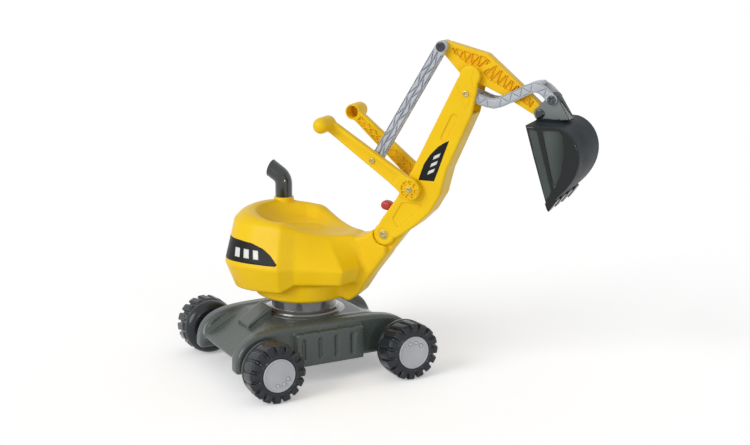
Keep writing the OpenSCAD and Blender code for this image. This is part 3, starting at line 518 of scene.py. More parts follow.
# Boom
BOOM_FOOT, BOOM_FOOT_R, BOOM_HEAD_R = 23.4, 23.5, 22
BOOM = [BOOM_PIVOT + BOOM_FOOT * ARM_SIDE, (228, 396), (264, 462), (357, 649), (375, 675), (402, 665), (399, 627),
        (389, 577), (337, 461), (323, 407), (301, 370), (272, 342), BOOM_PIVOT - BOOM_FOOT * ARM_SIDE]
BOOM_SLIT, BOOM_SLIT_W = [(352, 571), (331, 528)], 14
BOOM_WELL = [(241, 388), (291, 388), (231, 331), (219, 352)]
WELL_DEPTH, LINE_DEPTH = 2.0, 1.0
LINK_MARK = [LINK_PIVOT + q for q in ((-17, 12), (1, -34), (11, -6))]
HEAD_MARK = [(393, 668), (387, 652), (392, 628)]
BOLT_RING_R = 12.3
CLEVIS = [in_arm(*q) for q in ((-40, 50), (72, 50), (72, 2), (52, 2), (52, -50), (-40, -50))]
HEAD_SLOT = [(300, 588), (352, 588), (374, 579), (450, 579), (450, 720), (300, 720)]


def boom_field(x, y, z):
    flat = polygon(x, z, fillet(BOOM, 26))
    eyes = np.minimum(disc(x, z, BOOM_PIVOT, BOOM_FOOT_R), disc(x, z, DIPPER_PIVOT, BOOM_HEAD_R))
    d = slab(np.minimum(flat, eyes), y, -BOOM_HALF, BOOM_HALF, 5)
    for shape in (stroke(x, z, BOOM_SLIT, BOOM_SLIT_W), polygon(x, z, fillet(BOOM_WELL, 6))):
        d = cut(d, both(shape, BOOM_HALF - WELL_DEPTH - np.abs(y), 0.8), 1.0)
    lines = np.minimum(stroke(x, z, LINK_MARK, 1.6), stroke(x, z, HEAD_MARK, 1.4))
    lines = np.minimum(lines, np.abs(disc(x, z, BOOM_PIVOT, BOLT_RING_R)) - 0.9)
    d = cut(d, both(lines, BOOM_HALF - LINE_DEPTH - np.abs(y)), 0.6)
    d = cut(d, both(polygon(x, z, CLEVIS), np.abs(y) - CLEVIS_HALF), 1.2)
    return cut(d, both(polygon(x, z, HEAD_SLOT), np.abs(y) - HEAD_SLOT_HALF), 1.5)


# Hand levers, in a frame whose X runs from the pivot to the handle; the outer face is at the lower Y
LEVER_FACE, LEVER_BACK, LEVER_EYE_R = -47, -30, 22
FACE_FLOOR, WELL_FLOOR, RIBS_FROM, RIBS_TO = -46, -34.5, -36, -31.5
GRIP_R, GRIP_END, GRIP_BORE_R, GRIP_BORE = 16.5, -70, 13, (-64, -20)
SPOKES, SPOKE_HALF, RING_R, RING_HALF, RING_FLOOR = 8, 1.3, 14.2, 4.4, -43.2


def lever_field(length):
    edge = [(0, 19), (50, 15.5), (length, 10.5), (length, -12.5), (50, -17.5), (0, -20)]
    face = [(34, 8.5), (length - 30, 5), (length - 30, -6), (34, -10.5)]
    well = [(30, 12), (length - 20, 7), (length - 20, -7), (30, -12)]
    low, high = [(30, -11), (length - 20, -6.5)], [(30, 11), (length - 20, 6.5)]

    def field(x, y, z):
        hub, bar = disc(x, z, (0, 0), 0), disc(x, z, (length, 0), 0)
        flat = join(polygon(x, z, edge), disc(x, z, (0, 0), LEVER_EYE_R), 6)
        d = slab(flat, y, LEVER_FACE, LEVER_BACK, 3.5)
        ball = np.sqrt(bar ** 2 + (y - GRIP_END) ** 2) - GRIP_R
        d = join(d, np.where(y < GRIP_END, ball, both(bar - GRIP_R, y - LEVER_BACK, 2.5)), 3)
        d = cut(d, both(bar - GRIP_BORE_R, span(y, *GRIP_BORE), 2), 1.2)
        d = cut(d, both(polygon(x, z, fillet(face, 3)), y - FACE_FLOOR), 0.8)
        d = cut(d, both(polygon(x, z, well), WELL_FLOOR - y), 1)
        ribs = np.minimum(stroke(x, z, zigzag(low, high, 8), 2.4), stroke(x, z, zigzag(high, low, 8), 2.4))
        d = np.minimum(d, slab(ribs, y, RIBS_FROM, RIBS_TO, 0.6))
        turns = SPOKES / 2
        spoke = np.abs(np.sin(np.arctan2(z, x) * turns)) / turns * hub - SPOKE_HALF
        ring = both(cut(np.abs(hub - RING_R) - RING_HALF, spoke, 0.6), y - RING_FLOOR)
        return cut(d, ring, 0.8)
    return field


def lever(side):
    length, rise, sign = LEVERS[side]
    a = rise - math.pi
    turn = Matrix(((math.cos(a), 0, math.sin(a)), (0, 1, 0), (-math.sin(a), 0, math.cos(a)))).to_4x4()
    matrix = Matrix.Translation((LEVER_PIVOT[0] * MM, 0, LEVER_PIVOT[1] * MM)) @ turn
    if sign > 0:
        matrix = Matrix.Scale(-1, 4, (0, 1, 0)) @ matrix
    low, high = (-25, -90, -25), (length + 20, -27, 25)
    obj = solid("lever_" + side + "_moulding", lever_field(length), low, high, 1.1, YELLOW, matrix)
    if sign > 0:
        obj.data.flip_normals()
    put(obj, "control_lever" if side == "right" else "boom", "yellow_plastic", "lever_" + side)


# Strut, dipper and link
STRUT_W, STRUT_NEAR, STRUT_FAR, STRUT_MID = 24, -28.5, -13.5, -21
STRUT_END, STRUT_LINE, STRUT_WEB_HALF = 14, 10, 5.2
FLANK_END, FLANK_NEAR, FLANK_FAR, FLANK_IN = 15, -26.6, -15.4, 10.6


def strut_field(x, y, z):
    length = np.linalg.norm(STRUT_TOP - STRUT_LOW)
    way = (STRUT_TOP - STRUT_LOW) / length
    a = (x - STRUT_LOW[0]) * way[0] + (z - STRUT_LOW[1]) * way[1]
    s = (z - STRUT_LOW[1]) * way[0] - (x - STRUT_LOW[0]) * way[1]
    d = slab(stroke(a, s, [(0, 0), (length, 0)], STRUT_W), y, STRUT_NEAR, STRUT_FAR, 1.2)
    start, end = STRUT_END, length - STRUT_END
    edges = np.maximum(np.abs(np.abs(s) - STRUT_LINE) - 0.8, span(a, start, end))
    lines = np.minimum(stroke(a, s, [(start, 0), (end, 0)], 3.0), edges)
    for shift, low, high in ((0, -STRUT_LINE, 0), (9, 0, STRUT_LINE)):
        ends = [[(start + shift, q), (end, q)] for q in (low, high)]
        lines = np.minimum(lines, stroke(a, s, zigzag(*ends, 9), 2.2))
    d = cut(d, both(lines, STRUT_WEB_HALF - np.abs(y - STRUT_MID)), 0.3)
    start, end = FLANK_END, length - FLANK_END
    side = both(span(a, start, end), span(y, FLANK_NEAR, FLANK_FAR), 1)
    ends = [[(start, q), (end, q)] for q in (FLANK_NEAR, FLANK_FAR)]
    cross_ribs = stroke(a, y, zigzag(*ends, 17), 1.8)
    return cut(d, both(cut(side, cross_ribs, 0.4), FLANK_IN - np.abs(s)), 0.4)


DIPPER = [(325, 721.4), (414, 699), (485, 639), (533, 596.4), (518.4, 580.1), (456, 614), (412, 634), (368, 646),
          (314.4, 703.2)]
DIPPER_EYES = ((STRUT_TOP, 11), (BUCKET_PIVOT, 11), (DIPPER_PIVOT, 18))
DIPPER_WELLS = [[(338, 709), (412, 692), (424, 682), (398, 672), (372, 678), (344, 697)],
                [(432, 678), (484, 635), (512, 611), (506, 596), (460, 628), (418, 648), (404, 662)]]
DIPPER_RIBS = [zigzag([(341, 694), (403, 665)], [(336, 712), (428, 693)], 10),
               zigzag([(403, 652), (513, 590)], [(427, 687), (519, 613)], 16)]
DIPPER_RIB_W, DIPPER_WELL_DEPTH, DIPPER_HUB_R, DIPPER_HUB_HALF = 1.9, 4, 14, 22.3


def dipper_field(x, y, z):
    flat = polygon(x, z, fillet(DIPPER, 14))
    for at, r in DIPPER_EYES:
        flat = np.minimum(flat, disc(x, z, at, r))
    d = slab(flat, y, -DIPPER_HALF, DIPPER_HALF, 1.6)
    ribs = np.minimum(*(stroke(x, z, path, DIPPER_RIB_W) for path in DIPPER_RIBS))
    for well in DIPPER_WELLS:
        shape = cut(polygon(x, z, fillet(well, 4)), ribs, 0.6)
        d = cut(d, both(shape, DIPPER_HALF - DIPPER_WELL_DEPTH - np.abs(y)), 0.7)
    hub = slab(disc(x, z, DIPPER_PIVOT, DIPPER_HUB_R), y, -DIPPER_HUB_HALF, DIPPER_HUB_HALF, 0.6)
    return join(d, hub, 1)


def bend(a, b, c, r):
    """Points on a rounded bend at b."""
    a, b, c = (np.array(p, float) for p in (a, b, c))
    start, end = b + r * (a - b) / np.linalg.norm(a - b), b + r * (c - b) / np.linalg.norm(c - b)
    return [(1 - t) ** 2 * start + 2 * t * (1 - t) * b + t * t * end for t in np.linspace(0, 1, 6)]


LINK_LOW, LINK_HIGH = (431, 598), (521, 645)
LINK_PATH = ([LINK_PIVOT] + bend(LINK_PIVOT, LINK_LOW, LINK_HIGH, 24)
             + bend(LINK_LOW, LINK_HIGH, BUCKET_LINK, 22) + [BUCKET_LINK])
LINK_W, LINK_IN, LINK_OUT, LINK_FLOOR = 20, 17.6, 22, 20.6
LINK_LINE_W, LINK_RIB_PITCH, LINK_EYE = 16, 13, 12
LINK_WEBS = (([(398, 611), (431, 598), (438, 601)], 12), ([(514, 645), (524, 646)], 9))
LINK_WEB_HALF = 18.6


def link_field(x, y, z):
    near = np.abs(y)
    d = slab(stroke(x, z, LINK_PATH, LINK_W), near, LINK_IN, LINK_OUT, 0.9)
    lines = np.abs(stroke(x, z, LINK_PATH, LINK_LINE_W)) - 0.6
    for (x0, z0), (x1, z1) in ((LINK_PIVOT, LINK_LOW), (LINK_LOW, LINK_HIGH), (LINK_HIGH, BUCKET_LINK)):
        run = math.hypot(x1 - x0, z1 - z0)
        way = np.array([x1 - x0, z1 - z0]) / run
        side = np.array([-way[1], way[0]]) * LINK_LINE_W / 2
        low = [np.array([x0, z0]) + 11 * way - side, np.array([x1, z1]) - 8 * way - side]
        high = [p + 2 * side for p in low]
        ribs = zigzag(low, high, max(2, int(run / LINK_RIB_PITCH)))
        lines = np.minimum(lines, stroke(x, z, ribs, 1.5))
    lines = both(lines, LINK_EYE - disc(x, z, BUCKET_LINK, 0))
    d = cut(d, both(lines, LINK_FLOOR - near), 0.3)
    web = np.minimum(*(stroke(x, z, path, w) for path, w in LINK_WEBS))
    return join(d, slab(web, y, -LINK_WEB_HALF, LINK_WEB_HALF), 1.5)


# Bucket, its sides leaning in towards the back
MOUTH_TOP, EDGE, EDGE_OUT = np.array([518.0, 575.0]), np.array([563.0, 420.0]), (0.795, 0.607)
BACK = [np.array(p, float) for p in ((576, 574), (622, 566), (659, 489), (563, 420))]
INNER = [np.array(p, float) for p in ((574, 570), (618, 562), (653.5, 490), (560, 422))]
BUCKET_HALF, BUCKET_IN_HALF, LEAN, LEAN_FROM, LEAN_OVER = 91, 86, 0.15, 535, 95
STRIP = [(525, 569), (541, 566.5), (571.5, 449), (564, 434), (560.5, 434)]
PANEL = [(551, 567), (583, 568), (591, 558), (595, 526), (590, 485), (577.4, 452.4)]
STRIP_DEPTH, PANEL_DEPTH, RIM_DEPTH, SHELL_TOP, TOOTH_H, INSET = 1.4, 2.6, 3.2, 576, 14, 0.3
BUCKET_LUG = [BUCKET_PIVOT + (-12, 4), BUCKET_LINK + (-9, 6), BUCKET_LINK + (10, 4), (586, 579), (530, 566),
              BUCKET_PIVOT + (-11, -8)]
LUG_IN, LUG_OUT, LUG_FOOT = 12.6, 17.1, 579
LUG_WEB, LUG_WEB_HALF = [BUCKET_LINK + (11, -9), (583, 577)], 15
TEETH, TOOTH_INSET, GAP_HALF, GAP_DEPTH = 4, 20, 9.5, 10
TOOTH = [EDGE + q for q in ((-4, 4), (0.5, -12), (3.5, -12.6), (21, 12), (16, 14))]
TOOTH_PLAN = [(-20, 30), (9, 30), (13.5, 20), (13.5, 2), (9, -6), (-20, -6)]


def curve(p, steps=20):
    """Points on a cubic curve with four control points."""
    return [(1 - t) ** 3 * p[0] + 3 * t * (1 - t) ** 2 * p[1] + 3 * t * t * (1 - t) * p[2] + t ** 3 * p[3]
            for t in np.linspace(0, 1, steps + 1)]


def bucket_wall(x, y):
    """The distance from the middle, with the sides' lean taken out."""
    return np.abs(y) + LEAN * np.clip(x - LEAN_FROM, 0, LEAN_OVER)


def bucket_field(x, y, z):
    wall = bucket_wall(x, y)
    shell = both(polygon(x, z, [MOUTH_TOP] + curve(BACK)), wall - BUCKET_HALF, 4)
    room = polygon(x, z, [(490, 566), MOUTH_TOP + (2, -4)] + curve(INNER) + [np.array((520.0, 420.0))])
    d = cut(shell, both(room, wall - BUCKET_IN_HALF, 1.5), 0.8)
    d = cut(d, both(polygon(x, z, fillet(PANEL, 5)), BUCKET_HALF - PANEL_DEPTH - wall), 1.0)
    d = cut(d, both(polygon(x, z, fillet(STRIP, 3)), BUCKET_HALF - STRIP_DEPTH - wall), 0.8)
    lug = polygon(x, z, fillet(BUCKET_LUG, 5))
    lug = np.minimum(lug, np.minimum(disc(x, z, BUCKET_PIVOT, 13), disc(x, z, BUCKET_LINK, 11)))
    d = join(d, slab(lug, np.abs(y), LUG_IN, LUG_OUT, 0.8), 2)
    d = join(d, slab(stroke(x, z, LUG_WEB, 5), y, -LUG_WEB_HALF, LUG_WEB_HALF), 1)
    pitch = (2 * BUCKET_HALF - 2 * TOOTH_INSET) / (TEETH - 1)
    place = y + BUCKET_HALF - TOOTH_INSET
    place = place - pitch * np.clip(np.round(place / pitch), 0, TEETH - 1)
    out = (x - EDGE[0]) * EDGE_OUT[0] + (z - EDGE[1]) * EDGE_OUT[1]
    gap = both(np.abs(np.abs(place) - pitch / 2) - GAP_HALF, both(out - GAP_DEPTH, z - 440), 4)
    d = cut(d, gap, 1)
    tongue = polygon(np.abs(place), out, fillet(TOOTH_PLAN, 5))
    return join(d, both(polygon(x, z, TOOTH), tongue, 1.2), 1.5)


def bucket():
    low, high = grow("bucket", 6)
    obj = solid("bucket_moulding", bucket_field, low, high, 1.3, BUCKET)
    for material in (BUCKET_RIM_SHADE, BUCKET_STRIP_REFLECTION, BUCKET_PANEL_REFLECTION_SHADE, BUCKET_REFLECTION):
        obj.data.materials.append(material)
    plain, rim, reflection_strip, reflection_panel, reflection_face = range(5)
    faces = obj.data.polygons
    middle, normal = np.empty(3 * len(faces)), np.empty(3 * len(faces))
    faces.foreach_get("center", middle)
    faces.foreach_get("normal", normal)
    (x, y, z), ahead, side = middle.reshape(-1, 3).T / MM, normal[0::3], np.abs(normal[1::3])
    wall = bucket_wall(x, y)
    # Painted light by faces: outer side faces take the darker painted shade first, then the two sunk fields in them
    # the lighter painted reflection, the lugs' sides painted reflection and their faces towards the back painted
    # shade, and the teeth's outer faces painted reflection
    kind = np.where((wall > BUCKET_HALF - RIM_DEPTH) & (side > 0.3) & (z < SHELL_TOP), rim, plain)
    kind = np.where((kind == rim) & (polygon(x, z, STRIP) < -INSET), reflection_strip, kind)
    kind = np.where((kind == rim) & (polygon(x, z, PANEL) < -INSET), reflection_panel, kind)
    kind = np.where((z > LUG_FOOT) & (side > 0.7), reflection_face, kind)
    kind = np.where((z > LUG_FOOT) & (ahead > 0.5), rim, kind)
    kind = np.where((z < EDGE[1] + TOOTH_H) & (ahead > 0.55) & (wall < BUCKET_HALF - RIM_DEPTH), reflection_face, kind)
    faces.foreach_set("material_index", kind.astype(np.int32))
    put(obj, "bucket_body", "bucket_plastic", "bucket")


# Catch
LOCK_AT, LOCK_HALF, KNOB_HALF = in_arm(64, 8), 8, 11
LOCK_STEM = [in_arm(*q) for q in ((64, 13), (64, 3), (46.5, 3), (46.5, 12))]
LOCK_ARM, LOCK_ARM_W = [in_arm(55, 14), in_arm(47, 31)], 11
KNOB, KNOB_W = [in_arm(47.5, 30), in_arm(45.5, 35)], 19


def lock_field(x, y, z):
    stem = np.minimum(disc(x, z, LOCK_AT, 6), polygon(x, z, LOCK_STEM))
    d = slab(stem, y, -LOCK_HALF, LOCK_HALF, 1)
    d = join(d, slab(stroke(x, z, LOCK_ARM, LOCK_ARM_W), y, -LOCK_HALF, LOCK_HALF, 3), 2)
    return join(d, slab(stroke(x, z, KNOB, KNOB_W), y, -KNOB_HALF, KNOB_HALF, 6), 3)


# Chassis, in a frame whose X runs along it
DECK = [(-201, 62), (-201, 72), (-166, 90), (-106, 124), (106, 124), (166, 90), (201, 72), (201, 62)]
BLOCK, BLOCK_HALF = [(-145, 80), (-88, 110), (-88, 146), (-91, 147.5), (-144, 114)], 27.5
FLANGE = [(0, 100), (117, 100), (117, 116), (98, 123), (92, 124), (0, 124)]
RING = [(50, 122), (89, 122), (89, 127.5), (80, 129), (79, 133), (72, 135), (70, 138), (70, 157.5), (68, 159.6),
        (50, 159.6)]
LEG_SPRING, LEG_RISE, LEG_SQUARE, LEG_FULL, LEG_TUCK = LEG_LOW + 6, 81, 5, 0.4, 4
BOX_HALF, BOX_TOP, BOX_IN, BOX_OUT = 79, 111, LEG_OUT - 8, LEG_OUT + 15
GROOVE_AT, GROOVE_PITCH = 14, 38
SIDE_GROOVE, SIDE_GROOVE_W, SIDE_GROOVE_FLOOR = [(0, 57), (0, 96)], 7, LEG_OUT + 12
TOP_GROOVE, TOP_GROOVE_W, TOP_GROOVE_FLOOR = [(0, LEG_OUT + 4), (0, LEG_OUT + 11)], 5, 109.4
KINGPIN_R, KINGPIN_TOP = 16, 77


def leg_line(steps=40):
    """A leg's outline from the side, with a full arched top."""
    top = []
    for i in range(steps + 1):
        x = -HALF_L * math.cos(math.pi * i / steps)
        top.append((x, LEG_SPRING + LEG_RISE * max(0, 1 - (abs(x) / HALF_L) ** LEG_SQUARE) ** LEG_FULL))
    return [(HALF_L - LEG_TUCK, LEG_LOW), (-HALF_L + LEG_TUCK, LEG_LOW)] + top


def chassis_field(x, y, z):
    near, r = np.abs(y), np.sqrt(x * x + y * y)
    leg = slab(polygon(x, z, leg_line()), near, LEG_IN - 4, LEG_OUT, 9)
    deck = slab(polygon(x, z, fillet(DECK, 10)), y, -LEG_IN, LEG_IN)
    d = join(leg, deck, 10)
    d = join(d, polygon(r, z, fillet(FLANGE, 4)), 8)
    d = soften(d, passes=3)
    front = both(np.abs(x) - BOX_HALF, np.maximum(LEG_LOW - z, z - BOX_TOP), 4)
    d = join(d, both(front, span(near, BOX_IN, BOX_OUT), 4), 3)
    groove = x - GROOVE_AT
    groove = groove - GROOVE_PITCH * np.clip(np.round(groove / GROOVE_PITCH), -2, 1)
    d = cut(d, both(stroke(groove, z, SIDE_GROOVE, SIDE_GROOVE_W), SIDE_GROOVE_FLOOR - near, 1), 1.4)
    d = cut(d, both(stroke(groove, near, TOP_GROOVE, TOP_GROOVE_W), TOP_GROOVE_FLOOR - z, 1), 1)
    d = join(d, slab(polygon(x, z, fillet(BLOCK, 3)), y, -BLOCK_HALF, BLOCK_HALF, 2), 1.5)
    return cut(d, both(r - KINGPIN_R, z - KINGPIN_TOP), 1)


def chassis():
    turn = Matrix.Rotation(CHASSIS_YAW, 4, "Z")
    obj = solid("chassis_moulding", chassis_field, (-212, -136, 36), (212, 136, 151), 1.8, DARK, turn)
    put(obj, "chassis", "dark_plastic", "chassis_shell")
    put(lathe("turntable_collar", fillet(RING, 1.2), COLLAR), "chassis", "collar_plastic", "turntable_ring")


# Wheels stand in a frame whose Z runs from the outer face inwards

def arc(cx, cz, rx, rz, start, end, steps):
    return [(cx + rx * math.cos(math.radians(a)), cz + rz * math.sin(math.radians(a)))
            for a in np.linspace(start, end, steps + 1)]


TYRE_LINE = (
    [(AXLE_R, 16), (13, 16), (13, 5.5), (HUB_R + 0.3, 5.5), (HUB_R + 0.3, 2), (HUB_R + 3, 1), (HUB_R + 6, 3)]
    + arc(TREAD_R - 13, 18.5, 13, 13, -80, 0, 8) + [(TREAD_R, 46)]
    + arc(TREAD_R - 19, WHEEL_W - 24, 22, 20, 0, 90, 8)
    + [(30, WHEEL_W - 8), (16, WHEEL_W - 6), (14, WHEEL_W), (AXLE_R, WHEEL_W)])
LUG_LINE = [(42, 3), (TYRE_R - 6, 2), (TYRE_R - 1.5, 5), (TYRE_R, 9), (TYRE_R, 41), (TREAD_R, 48), (TREAD_R - 6, 44),
            (TREAD_R - 6, 12)]
LUG_HALF, LUG_SKEW, LUG_MIDDLE = 8.5, math.radians(12), 25
CAP_LINE = [(-5, 1.0), (HUB_R - 3.2, 1.0), (HUB_R - 2.4, 0), (HUB_R - 0.8, 0), (HUB_R, 0.9), (HUB_R, 5.4), (-5, 5.4)]
DOMES, DOME_AT, DOME_R, DOME_Z, DOME_GROOVE_R = (-37, 0, 37), HUB_R - 13.5, 3.8, 1.8, 4.2
# Each wheel's end and side of the chassis, and the angle of its cap
WHEELS = (("front_left", 1, 1, 90), ("front_right", 1, -1, -76), ("rear_left", -1, 1, -55),
          ("rear_right", -1, -1, 62))


def wheel_field(x, y, z):
    r = np.sqrt(x * x + y * y)
    body = polygon(r, z, TYRE_LINE)
    pitch = 2 * math.pi / LUGS
    turn = np.arctan2(y, x) - math.pi / 2
    turn = turn - pitch * np.round(turn / pitch)
    out, side = r * np.cos(turn), r * np.sin(turn)
    across = side * math.cos(LUG_SKEW) + (z - LUG_MIDDLE) * math.sin(LUG_SKEW)
    along = -side * math.sin(LUG_SKEW) + (z - LUG_MIDDLE) * math.cos(LUG_SKEW) + LUG_MIDDLE
    lug = slab(polygon(out, along, LUG_LINE), across, -LUG_HALF, LUG_HALF, 3.5)
    return join(body, lug, 2)


def cap_field(x, y, z):
    d = polygon(np.sqrt(x * x + y * y), z, fillet(CAP_LINE, 0.5))
    for a in DOMES:
        at = DOME_AT * np.array([math.cos(math.radians(a)), math.sin(math.radians(a))])
        far = np.sqrt((x - at[0]) ** 2 + (y - at[1]) ** 2)
        d = cut(d, both(np.abs(far - DOME_GROOVE_R) - 0.8, z - DOME_Z), 0.4)
        d = join(d, np.sqrt(far ** 2 + (z - DOME_Z) ** 2) - DOME_R, 0.3)
    return d


def wheels():
    """One tyre and one cap are made; the other wheels share their meshes."""
    tyre = cap = None
    for name, end, side, cap_turn in WHEELS:
        at = (end * WHEELBASE / 2 * MM, side * WHEEL_OUT * MM, TYRE_R * MM)
        place = Matrix.Rotation(CHASSIS_YAW, 4, "Z") @ Matrix.Translation(at) @ Matrix.Rotation(
            side * math.pi / 2, 4, "X")
        if tyre is None:
            r = TYRE_R + 1
            tyre = solid("tyre_" + name, wheel_field, (-r, -r, -1), (r, r, WHEEL_W + 1), 1.0, TYRE, keep=0.3)
            r = HUB_R + 1
            cap = solid("cap_" + name, cap_field, (-r, -r, -3), (r, r, 7), 0.7, HUB, keep=0.3)
            pair = tyre, cap
        else:
            pair = add("tyre_" + name, tyre.data), add("cap_" + name, cap.data)
        pair[0].matrix_world = place
        pair[1].matrix_world = place @ Matrix.Rotation(math.radians(cap_turn), 4, "Z")
        put(pair[0], "wheel_set_" + name, "wheel_plastic", "wheel_" + name)
        put(pair[1], "wheel_set_" + name, "hub_plastic", "hub_cap_" + name)


# Stickers: thin skins laid on a moulding by rays, between two edges given along one direction
STICKER_LIFT, BAR_LIFT, SKIN_ROOT = 0.35, 0.6, 0.5


def skin(name, tree, ray, low, high, start, end, material, lift, columns, rows=14):
    """ray(u, v) gives a start and a direction; low and high give v at u."""
    top, bottom = [], []
    for i in range(columns + 1):
        u = start + (end - start) * i / columns
        for j in range(rows + 1):
            v = low(u) + (high(u) - low(u)) * j / rows
            spot, normal, _, _ = tree.ray_cast(*(Vector(c) for c in ray(u, v)))
            top.append((spot + normal * lift * MM) / MM)
            bottom.append((spot - normal * SKIN_ROOT * MM) / MM)
    n, w = len(top), rows + 1
    faces = []
    for i in range(columns):
        for j in range(rows):
            a = i * w + j
            faces += [(a, a + 1, a + w + 1, a + w), (n + a, n + a + w, n + a + w + 1, n + a + 1)]
    rim = list(range(rows)) + [i * w + rows for i in range(columns)] + [
        columns * w + j for j in range(rows, 0, -1)] + [i * w for i in range(columns, 0, -1)]
    faces += [(b, a, n + a, n + b) for a, b in zip(rim, rim[1:] + rim[:1])]
    return make(name, top + bottom, faces, material)


def edge_through(points):
    u, v = zip(*points)
    return lambda at: float(np.interp(at, u, v))


def seen_by_rays(obj):
    return BVHTree.FromPolygons([v.co for v in obj.data.vertices], [tuple(p.vertices) for p in obj.data.polygons])


# On the house u is the angle from the front and v the height; on the boom u is the height and v is x.
# Each sticker's lower and upper edge, start, end and columns
STICKERS = {
    "house": ([(88, 255.5), (89.5, 252.3), (98.7, 252), (112.7, 252), (124.6, 252), (138.6, 251), (165, 251)],
              [(88, 256.5), (95.2, 273.2), (104.1, 285.3), (116.3, 293.4), (128.5, 295.8), (143, 296), (165, 296)],
              88, 158, 72),
    "boom": ([(437.9, 277), (454.9, 282.4), (472, 288.7), (491.5, 301.6), (509.1, 318.6), (519.4, 333.5),
              (523, 341.4)],
             [(437.9, 310.6), (459.9, 319.2), (489.5, 329.6), (523, 342)], 437.9, 523, 48)}
# Its bars: first place, pitch, width, low and high edge and their slope, lean and the v where it starts, columns
BARS = {"house": (106, 9, 5, 262, 280, 0, 0.12, 262, 6), "boom": (452, 13, 6.5, 296, 310, 0.45, 0.5, 300, 4)}
BAR_COUNT, BAR_ROWS = 3, 6
# Where the rays start, in metres from the middle
HOUSE_RAY, BOOM_RAY = 0.3, 0.1


def leaf(body, side, tree, ray):
    low, high, start, end, columns = STICKERS[body]
    return skin("%s_sticker_%s" % (body, side), tree, ray, edge_through(low), edge_through(high), start, end,
                STICKER, STICKER_LIFT, columns)


def bar(body, side, k, tree, ray):
    first, pitch, width, low, high, slope, lean, upright, columns = BARS[body]
    start = first + pitch * k
    return skin("%s_bar_%s_%d" % (body, side, k), tree, lambda u, v: ray(u + (v - upright) * lean, v),
                lambda u: low + (u - first) * slope, lambda u: high + (u - first) * slope,
                start, start + width, STRIPE, BAR_LIFT, columns, BAR_ROWS)


def stickers(house_piece, boom_piece):
    trees = {"house": seen_by_rays(house_piece), "boom": seen_by_rays(boom_piece)}
    for side, sign in (("right", -1), ("left", 1)):
        def round_house(u, v):
            a = math.radians(u)
            way = (math.cos(a), sign * math.sin(a), 0)
            return (way[0] * HOUSE_RAY, way[1] * HOUSE_RAY, v * MM), (-way[0], -way[1], 0)

        def by_boom(u, v):
            return (v * MM, sign * BOOM_RAY, u * MM), (0, -sign, 0)

        rays = {"house": round_house, "boom": by_boom}
        made = [(leaf(body, side, trees[body], rays[body]), body, "black_plastic") for body in rays]
        made += [(bar(body, side, k, trees[body], rays[body]), body, "hub_plastic")
                 for k in range(BAR_COUNT) for body in rays]
        for obj, body, slot in made:
            if (sign > 0) == (body == "house"):
                obj.data.flip_normals()
            put(obj, body, slot)


# Bolts and pins across the arm
RECESS_HALF, RECESS_DEPTH, DIAGONAL = 0.9, 1.6, 0.7071


def cross(x, z, at, half, w):
    """A cross recess, turned by an eighth of a turn."""
    a, b = ((x - at[0]) + (z - at[1])) * DIAGONAL, ((x - at[0]) - (z - at[1])) * DIAGONAL
    return np.minimum(np.maximum(np.abs(a) - half, np.abs(b) - w), np.maximum(np.abs(b) - half, np.abs(a) - w))


def pin(name, cad_node, body, slot, material, at, discs, faces=()):
    """discs are (radius, from, to, edge); faces are (y, side, recess half length) with a cross recess."""
    def field(x, y, z):
        d = FAR
        for r, y0, y1, edge in discs:
            d = np.minimum(d, slab(disc(x, z, at, r), y, y0, y1, edge))
        for y0, side, half in faces:
            d = cut(d, both(cross(x, z, at, half, RECESS_HALF), (y0 - y) * side - RECESS_DEPTH), 0.3)
        return d
    r = max(d[0] for d in discs) + 1
    low = (at[0] - r, min(d[1] for d in discs) - 1, at[1] - r)
    high = (at[0] + r, max(d[2] for d in discs) + 1, at[1] + r)
    put(solid(name, field, low, high, 0.55, material, keep=0.35), body, slot, cad_node)


def fasteners():
    pin("boom_bolt", "boom_pivot_bolt", "boom", "steel", BRASSY, BOOM_PIVOT,
        [(6, -30, 41, 0.5), (9.6, -30, -28, 0.5), (7, -32.5, -29, 1.6)], [(-32.5, -1, 5)])
    pin("lever_bolt", "lever_pivot_bolt", "boom", "steel", BRASSY, LEVER_PIVOT,
        [(5, -48, 55, 0.5), (6.6, -49.5, -45, 1.4)], [(-49.5, -1, 4)])
    pin("strut_screw", "strut_lower_screw", "control_lever", "steel", BRASSY, STRUT_LOW,
        [(4, -48, -11.5, 0.5), (6, -49, -46, 1.4), (7.5, -13.2, -11, 0.8)], [(-49, -1, 3.6)])
    pin("strut_bolt", "strut_upper_bolt", "dipper_arm", "black_plastic", BLACK, STRUT_TOP,
        [(4, -30.5, 16, 0.5), (10, -32.5, -28.8, 2.4), (8, 12, 16, 2)], [(-32.5, -1, 4.5)])
    pin("link_screw", "link_pivot_screw", "boom", "steel", BRASSY, LINK_PIVOT,
        [(4, -30, 30, 0.5), (6.5, -31.4, -28, 1.4), (6.5, 28, 31.4, 1.4)], [(-31.4, -1, 3.8), (31.4, 1, 3.8)])
    pin("bucket_bolt", "bucket_pin", "bucket_body", "black_plastic", BLACK, BUCKET_PIVOT,
        [(5, -18, 18, 0.5), (9.6, 17.1, 21.1, 3.6), (9.6, -21.1, -17.1, 3.6)])
    pin("link_bolt", "link_bucket_pin", "bucket_body", "steel", DULL, BUCKET_LINK,
        [(4, -23, 23, 0.5), (9, 22.3, 25, 1.4), (9, -25, -22.3, 1.4)], [(-25, -1, 6.5), (25, 1, 6.5)])


# Floor, light and camera
FLOOR_HALF, FLOOR_TONE, FLOOR_GLOW, SKY_LIGHT = 40, 0.85, 0.3, 0.48
